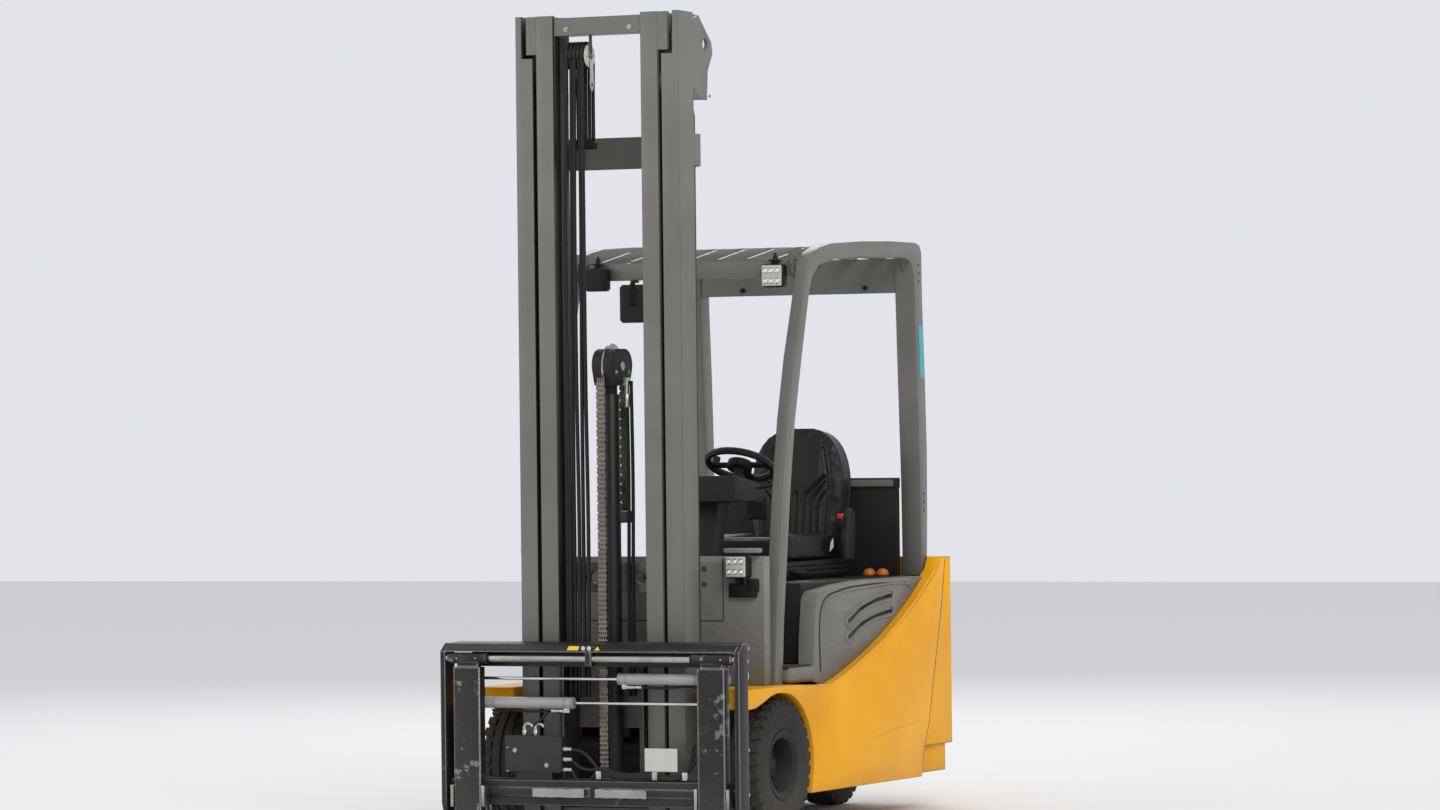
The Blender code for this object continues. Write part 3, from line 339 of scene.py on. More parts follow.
def painted(name, paint, rough, wear, chip, dust, dust_height=0.6, metal_chip=False, peel=0.35,
            coat=0.0, chip_scale=60.0, width=0.004, dust_color=(0.11, 0.10, 0.085), inward_shade=False, gloss=0.35):
    """Sprayed paint with orange peel, worn edges that show what is under it, scratches and dust, and painted
    shade on faces that look at the truck's middle where asked.
    """
    tree, shader = surface(name)
    place = here(tree)
    worn = use(tree, "wear", {"Width": width, "Amount": wear, "Chip Scale": chip_scale})
    tone = noise(tree, place, 2.2, 4.0)
    darker = [c * 0.80 for c in paint]
    lighter = [min(1.0, c * 1.10) for c in paint]
    varied = mixed(tree, ramp(tree, tone, 0.3, 0.7), color(darker), color(lighter))
    scratched = use(tree, "scratches", {"Stretch": (1.0, 0.05, 1.0), "Amount": wear * 0.5})
    varied = mixed(tree, scratched["Mask"], varied, color([min(1.0, c * 1.6 + 0.05) for c in paint]))
    chipped = mixed(tree, worn["Mask"], varied, color(chip))
    # painted shade: faces looking at the truck's middle go near black, standing in for the shade inside the
    # mast channels
    if inward_shade:
        chipped = mixed(tree, inward_faces(tree), chipped, color((0.011, 0.0105, 0.010)))
    dusty = use(tree, "dust", {"Color": chipped, "Dust Color": color(dust_color), "Amount": dust,
                               "Height": dust_height})
    tree.links.new(dusty["Color"], shader.inputs["Base Color"])
    spread = noise(tree, place, 11.0, 5.0)
    patchy = plus(tree, times(tree, spread, 0.22), rough - 0.11)
    dull = plus(tree, patchy, times(tree, dusty["Mask"], 0.5), clamp=True)
    if metal_chip:
        bare = mixed(tree, worn["Mask"], color((0, 0, 0)), color((1, 1, 1)))
        tree.links.new(bare, shader.inputs["Metallic"])
        dull = math(tree, "SUBTRACT", dull, times(tree, worn["Mask"], 0.22), clamp=True)
    tree.links.new(dull, shader.inputs["Roughness"])
    shader.inputs["Coat Weight"].default_value = coat
    shader.inputs["Specular IOR Level"].default_value = gloss
    shader.inputs["Coat Roughness"].default_value = 0.12
    relief = use(tree, "grain", {"Scale": 700.0, "Depth": peel})["Height"]
    chips = times(tree, worn["Mask"], -0.6)
    bump(tree, shader, plus(tree, relief, chips), 0.00035, worn["Normal"])


def moulded(name, tint, rough=0.55, depth=0.8, scale=1400.0, dust=0.35, dust_height=0.7, scuff=0.35):
    """Moulded plastic or rubber: fine pebbled face, pale scuffs and dust."""
    tree, shader = surface(name)
    place = here(tree)
    tone = noise(tree, place, 3.0, 4.0)
    varied = mixed(tree, ramp(tree, tone, 0.3, 0.7), color([c * 0.82 for c in tint]),
                   color([c * 1.15 for c in tint]))
    marks = use(tree, "scratches", {"Stretch": (1.0, 0.12, 0.6), "Amount": scuff})
    varied = mixed(tree, marks["Mask"], varied, color([min(1.0, c * 1.7 + 0.02) for c in tint]))
    dusty = use(tree, "dust", {"Color": varied, "Amount": dust, "Height": dust_height})
    tree.links.new(dusty["Color"], shader.inputs["Base Color"])
    patch = plus(tree, times(tree, noise(tree, place, 14.0, 4.0), 0.24), rough - 0.12)
    tree.links.new(plus(tree, patch, times(tree, dusty["Mask"], 0.4), clamp=True), shader.inputs["Roughness"])
    relief = use(tree, "grain", {"Scale": scale, "Depth": depth})["Height"]
    shader.inputs["Specular IOR Level"].default_value = 0.22
    worn = use(tree, "wear", {"Width": 0.002, "Amount": 0.0})
    bump(tree, shader, relief, 0.0004, worn["Normal"])


def bare_metal(name, tint, rough, oil):
    """Ground or rolled metal: drawn lines, smears of oil and a little dirt."""
    tree, shader = surface(name)
    place = here(tree)
    lines = use(tree, "scratches", {"Stretch": (1.0, 1.0, 0.04), "Amount": 0.8})
    smear = ramp(tree, noise(tree, place, 9.0, 5.0), 0.45, 0.7, 0.0, oil)
    clean = mixed(tree, lines["Mask"], color(tint), color([c * 0.6 for c in tint]))
    tree.links.new(mixed(tree, smear, clean, color((0.03, 0.022, 0.015))), shader.inputs["Base Color"])
    shader.inputs["Metallic"].default_value = 1.0
    spread = plus(tree, times(tree, noise(tree, place, 40.0, 4.0), 0.16), rough - 0.08)
    tree.links.new(plus(tree, spread, times(tree, smear, 0.35), clamp=True), shader.inputs["Roughness"])
    relief = plus(tree, times(tree, lines["Mask"], 0.5), noise(tree, place, 700.0, 2.0))
    bump(tree, shader, relief, 0.00012)


def plain_gloss(name, tint, rough=0.2, emission=0.0):
    """A small glossy thing such as a lens, a sticker or a knob, with patches of dust."""
    tree, shader = surface(name)
    place = here(tree)
    cloud = ramp(tree, noise(tree, place, 30.0, 5.0), 0.4, 0.75, 0.0, 0.28)
    tree.links.new(mixed(tree, cloud, color(tint), color([c * 0.62 + 0.02 for c in tint])),
                   shader.inputs["Base Color"])
    tree.links.new(plus(tree, times(tree, cloud, 0.6), rough, clamp=True), shader.inputs["Roughness"])
    if emission:
        shader.inputs["Emission Color"].default_value = color(tint)
        shader.inputs["Emission Strength"].default_value = emission
    bump(tree, shader, noise(tree, place, 300.0, 2.0), 0.00008)


def make_vinyl():
    """Black seat vinyl with a pebble grain, a soft sheen and worn, dusty crowns."""
    tree, shader = surface("seat vinyl")
    place = here(tree)
    tone = ramp(tree, noise(tree, place, 6.0, 5.0), 0.35, 0.7)
    varied = mixed(tree, tone, color((0.006, 0.006, 0.0064)), color((0.013, 0.0125, 0.012)))
    dusty = use(tree, "dust", {"Color": varied, "Amount": 0.12, "Height": 0.2})
    tree.links.new(dusty["Color"], shader.inputs["Base Color"])
    tree.links.new(ramp(tree, noise(tree, place, 16.0, 5.0), 0.2, 0.8, 0.34, 0.55),
                   shader.inputs["Roughness"])
    shader.inputs["Specular IOR Level"].default_value = 0.28
    bump(tree, shader, use(tree, "hide", {"Scale": 420.0})["Height"], 0.0006)


def make_materials():
    """Every finish of the truck, from the user's colours and wear."""
    paint = bpy.context.scene.forklift_paint
    wear = paint.wear
    yellow = tuple(paint.body_yellow)
    grey = tuple(paint.mast_grey)
    cover = tuple(paint.cover_grey)
    black = tuple(paint.steel_black)
    bright = (0.40, 0.38, 0.35)
    painted("yellow paint", yellow, 0.36, wear * 0.28, (0.11, 0.10, 0.09), 0.30, 0.36,
            peel=0.4, coat=0.03, chip_scale=34.0, width=0.006, dust_color=(0.34, 0.19, 0.04), gloss=0.18)
    painted("worn yellow", yellow, 0.38, wear * 0.92, (0.16, 0.17, 0.17), 0.45, 0.5,
            peel=0.4, chip_scale=22.0, width=0.012, dust_color=(0.30, 0.17, 0.05), gloss=0.18)
    # the mast's faces that look at the truck's middle get painted shade
    painted("mast paint", grey, 0.42, wear * 0.5, (0.05, 0.045, 0.04), 0.30, 1.0, peel=0.5,
            coat=0.1, inward_shade=True)
    painted("guard paint", grey, 0.40, wear * 0.2, (0.06, 0.055, 0.05), 0.25, 0.8, peel=0.4,
            coat=0.15)
    painted("black paint", black, 0.40, wear * 0.62, bright, 0.40, 0.6, metal_chip=True)
    painted("fork paint", black, 0.42, wear * 1.36, bright, 0.35, 0.25, metal_chip=True,
            chip_scale=26.0, width=0.010)
    painted("frame paint", black, 0.42, wear * 1.06, bright, 0.35, 0.4, metal_chip=True,
            chip_scale=32.0, width=0.007)
    painted("silver paint", (0.36, 0.36, 0.35), 0.34, wear * 0.5,
            (0.16, 0.15, 0.14), 0.3, 0.3)
    moulded("cover plastic", cover, 0.50, 0.8)
    moulded("dark plastic", (0.013, 0.013, 0.0133), 0.52, 0.8)
    moulded("deep black", (0.007, 0.007, 0.007), 0.50, 0.5, dust=0.3, dust_height=0.5)
    moulded("tyre rubber", (0.017, 0.0165, 0.016), 0.78, 1.0, 500.0, 0.75, 0.5, 0.5)
    moulded("hose rubber", (0.011, 0.011, 0.011), 0.42, 0.3, 900.0, 0.2, 0.5)
    moulded("step rubber", (0.020, 0.020, 0.020), 0.75, 1.0, 700.0, 0.8, 0.9)
    moulded("battery black", (0.02, 0.02, 0.021), 0.6, 0.8)
    bare_metal("chrome", (0.72, 0.72, 0.72), 0.12, 0.22)
    bare_metal("worn steel", (0.48, 0.46, 0.43), 0.30, 0.35)
    bare_metal("chain steel", (0.25, 0.225, 0.185), 0.34, 0.6)
    bare_metal("zinc", (0.56, 0.55, 0.51), 0.34, 0.2)
    plain_gloss("lamp white", (0.50, 0.50, 0.47), 0.30)
    plain_gloss("lamp glow", (0.86, 0.86, 0.78), 0.12, 0.10)
    plain_gloss("blank white", (0.56, 0.56, 0.52), 0.35)
    plain_gloss("orange lens", (0.55, 0.13, 0.006), 0.16)
    plain_gloss("red plastic", (0.60, 0.02, 0.012), 0.3)
    plain_gloss("yellow label", (0.86, 0.55, 0.03), 0.35)
    plain_gloss("turquoise label", (0.03, 0.42, 0.42), 0.35)
    plain_gloss("screen", (0.012, 0.016, 0.018), 0.08)
    plain_gloss("mirror glass", (0.35, 0.37, 0.39), 0.05)
    make_vinyl()


# ---------------------------------------------------------------- modelling helpers

def deselect():
    """Leaves edit mode and selects nothing."""
    if bpy.context.object and bpy.context.object.mode != "OBJECT":
        bpy.ops.object.mode_set(mode="OBJECT")
    bpy.ops.object.select_all(action="DESELECT")


def take(piece):
    """Makes the piece the only one selected, and the active one."""
    deselect()
    piece.select_set(True)
    bpy.context.view_layer.objects.active = piece
    return piece


def applied(piece, kind, **settings):
    """The piece with a modifier of that kind applied to its mesh."""
    take(piece)
    made = piece.modifiers.new(kind.title(), kind)
    for label, value in settings.items():
        setattr(made, label, value)
    bpy.ops.object.modifier_apply(modifier=made.name)
    return piece


def edit_all():
    """Enters edit mode with the whole mesh selected."""
    bpy.ops.object.mode_set(mode="EDIT")
    bpy.ops.mesh.select_all(action="SELECT")


def settle():
    """Puts the active object's place, turn and size into its mesh."""
    if bpy.context.object.mode != "OBJECT":
        bpy.ops.object.mode_set(mode="OBJECT")
    bpy.ops.object.transform_apply(location=True, rotation=True, scale=True)
    return bpy.context.object


def beveled(width, segments=2):
    """Rounds every edge of the active piece that is sharper than 30 degrees."""
    return applied(bpy.context.object, "BEVEL", width=width, segments=segments, limit_method="ANGLE",
                   angle_limit=radians(30))


def brick(low, high, bevel=0.002, segments=2):
    """A block between two corners with rounded edges."""
    deselect()
    low, high = Vector(low), Vector(high)
    bpy.ops.mesh.primitive_cube_add(size=1, location=(low + high) / 2)
    bpy.context.object.scale = [abs(d) for d in high - low]
    piece = settle()
    if bevel:
        beveled(bevel, segments)
    return piece


def pole(start, end, radius, sides=20, bevel=0.0, tip=None):
    """A round bar from start to end; tip is its radius at the end where that differs."""
    deselect()
    start, end = Vector(start), Vector(end)
    span = end - start
    turn = span.to_track_quat("Z", "Y").to_euler()
    bpy.ops.mesh.primitive_cone_add(vertices=sides, radius1=radius, radius2=radius if tip is None else tip,
                                    depth=span.length, location=(start + end) / 2, rotation=turn)
    piece = settle()
    if bevel:
        beveled(bevel, 1)
    return piece


def dome(centre, axis, radius, height, sides=20, rings=5):
    """A low round cap on a face, its crown along axis."""
    deselect()
    bpy.ops.mesh.primitive_uv_sphere_add(segments=sides, ring_count=rings * 2, radius=1, location=(0, 0, 0))
    edit_all()
    bpy.ops.mesh.bisect(plane_co=(0, 0, 0), plane_no=(0, 0, 1), use_fill=True, clear_inner=True)
    piece = settle()
    piece.scale = (radius, radius, height)
    piece.rotation_euler = Vector(axis).to_track_quat("Z", "Y").to_euler()
    piece.location = centre
    return settle()


def walked(places):
    """A new piece, still in edit mode, with one edge from each place to the next."""
    deselect()
    bpy.ops.mesh.primitive_plane_add(size=0.01, location=places[0])
    settle()
    edit_all()
    bpy.ops.mesh.merge(type="CENTER")
    for start, end in zip(places, places[1:]):
        bpy.ops.mesh.extrude_region_move(TRANSFORM_OT_translate={"value": end - start})
    bpy.ops.mesh.select_all(action="SELECT")


def drawn(points, thickness, bevel=0.0, segments=2):
    """A plate of that outline, extruded by the vector thickness."""
    walked([Vector(p) for p in points])
    bpy.ops.mesh.edge_face_add()
    bpy.ops.mesh.extrude_region_move(TRANSFORM_OT_translate={"value": Vector(thickness)})
    bpy.ops.mesh.select_all(action="SELECT")
    bpy.ops.mesh.normals_make_consistent(inside=False)
    piece = settle()
    if bevel:
        beveled(bevel, segments)
    return piece


def turned(points, centre, axis, steps=48):
    """A ring spun round axis through centre from a closed outline of (radius, along) points."""
    centre, axis = Vector(centre), Vector(axis).normalized()
    side = X_AXIS if abs(axis.x) < 0.9 else Z_AXIS
    out = (side - axis * side.dot(axis)).normalized()
    walked([centre + out * r + axis * a for r, a in points])
    if points[0][0] > 1e-5 or points[-1][0] > 1e-5:
        bpy.ops.mesh.edge_face_add()
        bpy.ops.mesh.delete(type="ONLY_FACE")
        bpy.ops.mesh.select_all(action="SELECT")
    bpy.ops.mesh.spin(steps=steps, angle=2 * pi, center=centre, axis=axis)
    bpy.ops.mesh.select_all(action="SELECT")
    bpy.ops.mesh.remove_doubles(threshold=0.00005)
    bpy.ops.mesh.normals_make_consistent(inside=False)
    return settle()


def joined(pieces):
    """One piece made of several."""
    deselect()
    for piece in pieces:
        piece.select_set(True)
    bpy.context.view_layer.objects.active = pieces[0]
    if len(pieces) > 1:
        bpy.ops.object.join()
    return bpy.context.object


def copied(piece, matrix):
    """A copy with its own mesh, moved by matrix."""
    twin = piece.copy()
    twin.data = piece.data.copy()
    bpy.context.collection.objects.link(twin)
    twin.data.transform(matrix)
    if matrix.is_negative:
        twin.data.flip_normals()
    return twin


def moved(piece, x=0.0, y=0.0, z=0.0):
    """A copy that far away."""
    return copied(piece, Matrix.Translation((x, y, z)))


def spread(piece, offsets):
    """The piece with a copy at each offset, all in one; the piece itself stays where it is."""
    return joined([piece] + [moved(piece, *offset) for offset in offsets])


def around(piece, count, centre, axis):
    """The piece repeated evenly round an axis, all in one."""
    pieces = [piece]
    for index in range(1, count):
        turn = Matrix.Rotation(2 * pi * index / count, 4, Vector(axis))
        pieces.append(copied(piece, Matrix.Translation(centre) @ turn @ Matrix.Translation(-Vector(centre))))
    return joined(pieces)


def mirrored(piece):
    """The same piece on the truck's other side."""
    return copied(piece, Matrix.Scale(-1, 4, X_AXIS))


def paired(piece):
    """The piece and its mirror image, in one."""
    return joined([piece, mirrored(piece)])


def pierced(piece, cutters):
    """The piece with each cutter's shape taken out of it."""
    for cutter in cutters:
        applied(piece, "BOOLEAN", operation="DIFFERENCE", object=cutter)
        bpy.data.objects.remove(cutter, do_unlink=True)
    return piece


def hose(points, radius, sides=5):
    """A hose or a wire along a smooth curve through the points."""
    curve = bpy.data.curves.new("Route", "CURVE")
    curve.dimensions = "3D"
    curve.bevel_depth = radius
    curve.bevel_resolution = sides
    curve.use_fill_caps = True
    curve.resolution_u = 8
    spline = curve.splines.new("BEZIER")
    spline.bezier_points.add(len(points) - 1)
    for knot, place in zip(spline.bezier_points, points):
        knot.co = place
        knot.handle_left_type = "AUTO"
        knot.handle_right_type = "AUTO"
    holder = bpy.data.objects.new("Route", curve)
    bpy.context.collection.objects.link(holder)
    take(holder)
    bpy.ops.object.convert(target="MESH")
    return bpy.context.object


BOLT_SINK = 0.0005           # how far a bolt's foot lies under the face it stands on


def bolt(place, axis, radius=0.008, height=0.005, washer=True):
    """A hexagon head on a washer, standing on a face."""
    place, axis = Vector(place), Vector(axis).normalized()
    parts = []
    base = place
    if washer:
        parts.append(pole(place - axis * BOLT_SINK, place + axis * 0.0015, radius * 1.35, 16))
        base = place + axis * 0.0013
    parts.append(pole(base - axis * BOLT_SINK, base + axis * height, radius, 6, bevel=radius * 0.12))
    return joined(parts)


def bolts(places, axis, radius=0.008, height=0.005, washer=True):
    """The same bolt at each of those places, in one."""
    first = bolt(places[0], axis, radius, height, washer)
    start = Vector(places[0])
    return spread(first, [tuple(Vector(p) - start) for p in places[1:]])


def keep(piece, name, finish, body, smooth=35):
    """Names a finished piece, gives it its finish and its body, and smooths it where it is round."""
    take(piece)
    piece.name = name
    piece.data.name = name
    piece.data.materials.clear()
    piece.data.materials.append(MATERIALS[finish])
    if smooth:
        bpy.ops.object.shade_smooth_by_angle(angle=radians(smooth))
    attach(piece, body)
    return piece


# ---------------------------------------------------------------- frame finishes

FRAME_FINISHES = {
    "yellow paint": ("side_panel_left", "side_panel_right", "wheel_arch_left", "wheel_arch_right"),
    "worn yellow": ("counterweight",),
    "mast paint": ("outer_mast_frame", "inner_mast_frame"),
    "guard paint": ("guard_side_left", "guard_side_right", "guard_roof"),
    "cover plastic": ("side_cover_left", "side_cover_right", "front_cowl"),
    "black paint": ("chassis_frame", "front_axle", "steer_turntable", "fork_carriage", "valve_block",
                    "lift_cylinder_left", "lift_cylinder_right", "free_lift_cylinder",
                    "tilt_cylinder_left", "tilt_cylinder_right"),
    "frame paint": ("attachment_frame",),
    "fork paint": ("fork_left", "fork_right"),
    "battery black": ("traction_battery",),
    "dark plastic": ("battery_hood", "steering_console", "seat_suspension", "armrest", "rear_guard_panel",
                     "mirror", "free_lift_head"),
    "deep black": ("front_rim_left", "front_rim_right", "rear_wheel_hub", "steering_wheel", "upper_lamp_left",
                   "upper_lamp_right", "lower_lamp_left", "lower_lamp_right"),
    "tyre rubber": ("front_tyre_left", "front_tyre_right", "rear_tyre_left", "rear_tyre_right"),
    "seat vinyl": ("seat_cushion", "seat_back"),
    "silver paint": ("positioner_cylinder_left", "positioner_cylinder_right"),
    "chrome": ("lift_rod_left", "lift_rod_right", "positioner_rod_left", "positioner_rod_right",
               "tilt_rod_left", "tilt_rod_right"),
    "worn steel": ("fork_shaft",),
    "chain steel": ("lift_chain_front", "lift_chain_rear"),
}
EDGE_ROUND = {"side_panel_left": 0.006, "side_panel_right": 0.006, "counterweight": 0.008,
              "wheel_arch_left": 0.003, "wheel_arch_right": 0.003, "guard_side_left": 0.006,
              "guard_side_right": 0.006, "side_cover_left": 0.007, "side_cover_right": 0.007,
              "steering_console": 0.008, "armrest": 0.006, "battery_hood": 0.006}


EDGE_ROUND_ELSEWHERE = 0.0015
WELD_DISTANCE = 0.00002
SHARP_EDGE = radians(32)


def finish_frame():
    """Gives each node of the frame its finish and rounds its edges."""
    for finish, names in FRAME_FINISHES.items():
        for name in names:
            item = NODES[name]
            item.data.materials.clear()
            item.data.materials.append(MATERIALS[finish])
            for face in item.data.polygons:
                face.use_smooth = True
            weld = item.modifiers.new("Weld", "WELD")
            weld.merge_threshold = WELD_DISTANCE
            round_over = item.modifiers.new("Round", "BEVEL")
            round_over.width = EDGE_ROUND.get(name, EDGE_ROUND_ELSEWHERE)
            round_over.segments = 2
            round_over.limit_method = "ANGLE"
            round_over.angle_limit = SHARP_EDGE
            split = item.modifiers.new("Split", "EDGE_SPLIT")
            split.split_angle = SHARP_EDGE
            split.use_edge_sharp = False


class FORKLIFT_OT_materials(bpy.types.Operator):
    """Makes the shader groups and every finish of the truck"""

    bl_idname = "forklift.materials"
    bl_label = "Materials"

    def execute(self, context):
        make_groups()
        make_materials()
        return {"FINISHED"}


class FORKLIFT_OT_frame(bpy.types.Operator):
    """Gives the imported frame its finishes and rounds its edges"""

    bl_idname = "forklift.frame"
    bl_label = "Frame finishes"

    def execute(self, context):
        finish_frame()
        return {"FINISHED"}


# ---------------------------------------------------------------- wheels

FRONT_BORE = 0.1207          # radius at which the front tyres sit on their rims
REAR_BORE = 0.1157
WHEEL_STUDS = 8
DEEP_TYRE = 0.07             # half width from which a tyre has a bead line on its sidewall


def wheel_places(name):
    """Centre, half width and radius of a tyre of the frame."""
    low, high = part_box(name)
    return (low + high) / 2, (high.x - low.x) / 2, (high.z - low.z) / 2


def make_tyre(name, bore, blocks, depth, body):
    """A solid tyre: bead, rounded sidewall and crown, with slanted lugs round both shoulders."""
    centre, half, radius = wheel_places(name)
    crown = radius - depth
    side = [(bore, -half * 0.86), (bore + 0.012, -half * 0.96), (crown * 0.80, -half * 0.995),
            (crown * 0.92, -half * 0.95), (crown, -half * 0.72), (crown, -half * 0.42),
            (radius - 0.002, -half * 0.40), (radius, -half * 0.34), (radius, -half * 0.05),
            (crown, -half * 0.04)]
    outline = side + [(r, -a) for r, a in reversed(side)]
    parts = [turned(outline, centre, X_AXIS, blocks * 2)]
    pitch = 2 * pi * radius / blocks
    for end in SIDES:
        lug = brick((centre.x + end * half * 0.47, centre.y - pitch * 0.31, centre.z + crown - 0.016),
                    (centre.x + end * half * 0.93, centre.y + pitch * 0.31, centre.z + radius - 0.0006),
                    0.0025, 1)
        for vertex in lug.data.vertices:
            outward = abs(vertex.co.x - centre.x) / half
            vertex.co.y += (outward - 0.7) * pitch * 0.45
            if outward > 0.75:
                vertex.co.z -= (outward - 0.75) * 0.030
        parts.append(around(lug, blocks, centre, X_AXIS))
        if half > DEEP_TYRE:
            ring = [(crown * 0.74, half * 0.985), (crown * 0.755, half * 0.999), (crown * 0.77, half * 0.985)]
            parts.append(turned([(r, a * end) for r, a in ring], centre, X_AXIS, blocks * 2))
    tyre = keep(joined(parts), name + "_tread", "tyre rubber", body)
    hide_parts(name)


def make_front_rim(side):
    """A deep dished rim with its lock ring, eight studs and a hub cap."""
    name = "front_rim_" + SIDE_NAMES[side]
    body = "front_wheel_" + SIDE_NAMES[side]
    low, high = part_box(name)
    centre = (low + high) / 2
    radius = (high.z - low.z) / 2
    face = side * (high.x - low.x) / 2
    dish = [(0.0, 0.36), (0.030, 0.36), (0.036, 0.30), (0.036, 0.10), (0.068, 0.06), (0.080, 0.10),
            (0.086, 0.55), (0.094, 0.86), (0.104, 0.93), (0.112, 0.99), (radius, 0.99), (radius, -0.97),
            (0.100, -0.97), (0.090, -0.60), (0.0, -0.60)]
    parts = [turned([(r, face * share) for r, share in dish], centre, X_AXIS, 56)]
    nut = bolt((centre.x + face * 0.075, centre.y, centre.z + 0.052), (side, 0, 0), 0.0095, 0.012)
    parts.append(around(nut, WHEEL_STUDS, centre, X_AXIS))
    parts.append(dome((centre.x + face * 0.36, centre.y, centre.z), (side, 0, 0), 0.026, 0.012, 28))
    parts.append(pole((centre.x + face * 0.30, centre.y, centre.z - 0.076),
                      (centre.x + face * 0.72, centre.y, centre.z - 0.072), 0.004, 10))
    rim = keep(joined(parts), name + "_dish", "deep black", body)
    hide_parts(name)


class FORKLIFT_OT_wheels(bpy.types.Operator):
    """Makes the treaded tyres and the dished front rims"""

    bl_idname = "forklift.wheels"
    bl_label = "Wheels"

    def execute(self, context):
        fittings = context.scene.forklift_fittings
        for side in SIDES:
            label = SIDE_NAMES[side]
            make_tyre("front_tyre_" + label, FRONT_BORE, fittings.tread_blocks, fittings.tread_depth,
                      "front_wheel_" + label)
            make_front_rim(side)
            make_tyre("rear_tyre_" + label, REAR_BORE, fittings.tread_blocks - 4, fittings.tread_depth * 0.6,
                      "rear_wheels")
        low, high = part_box("rear_wheel_hub")
        centre = (low + high) / 2
        nuts = []
        for side in SIDES:
            nut = bolt(((high.x - 0.012) * side, centre.y, centre.z + 0.068), (side, 0, 0), 0.009, 0.010)
            nuts.append(around(nut, WHEEL_STUDS, centre, X_AXIS))
        keep(joined(nuts), "rear_wheel_nuts", "zinc", "rear_wheels")
        return {"FINISHED"}


# ---------------------------------------------------------------- mast

MAST_HOSES = 5
HOSE_TOP = 2.655             # height of the hose pulley's axle, where the straight hoses end
HOSE_FOOT = 0.47
PULLEY_RADIUS = 0.046
PULLEY_HALF = 0.036          # half the width of the pulley


def make_leaf_chain(name, node_name, body, pitch):
    """A leaf chain: staggered stacks of waisted plates on round pins, along Z."""
    low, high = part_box(node_name)
    middle_y, depth = (low.y + high.y) / 2, high.y - low.y
    radius = depth * 0.49
    waist = radius * 0.72
    plates = []
    for shift, columns in ((0.0, (-0.86, -0.42, 0.02, 0.46)), (pitch, (-0.64, -0.20, 0.24, 0.68))):
        outline = []
        for centre, start in ((pitch, 0), (0.0, 180)):
            for step in range(5):
                turn = radians(start + 180 * step / 4)
                outline.append((0, middle_y + radius * cos(turn),
                                low.z + radius + shift + centre + radius * sin(turn)))
            outline.append((0, middle_y + (waist if start else -waist), low.z + radius + shift + pitch / 2))
        plate = drawn(outline, (0.0046, 0, 0))
        stack = [moved(plate, x=column * high.x) for column in columns]
        bpy.data.objects.remove(plate, do_unlink=True)
        plates += stack
    for row in range(2):
        z = low.z + radius + row * pitch
        plates.append(pole((low.x, middle_y, z), (high.x, middle_y, z), radius * 0.52, 8))
    unit = joined(plates)
    applied(unit, "ARRAY", use_relative_offset=False, use_constant_offset=True,
            constant_offset_displace=(0, 0, 2 * pitch),
            count=int((high.z - low.z - 2 * radius - pitch) / (2 * pitch)))
    chain = keep(unit, name, "chain steel", body)
    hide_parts(node_name)
    return chain


def make_hose_bundle(radius):
    """Five hoses from the top pulley down the right rail to the carriage."""
    hoses = []
    for index in range(MAST_HOSES):
        x = -0.0620 - index * 0.0172
        over = -0.0627 - index * 0.0144
        y = -0.292 + 0.006 * (index % 2)
        sway = 0.0022 * (1 if index % 2 else -1)
        route = [(over, y, HOSE_TOP), (x + sway, y + 0.003, 2.1), (x, y, 1.55), (x - sway, y + 0.004, 1.0),
                 (x, y, HOSE_FOOT)]
        hoses.append(hose(route, radius, 3))
    bundle = keep(joined(hoses), "mast_hoses", "hose rubber", "inner_mast", smooth=60)
    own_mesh(bundle)


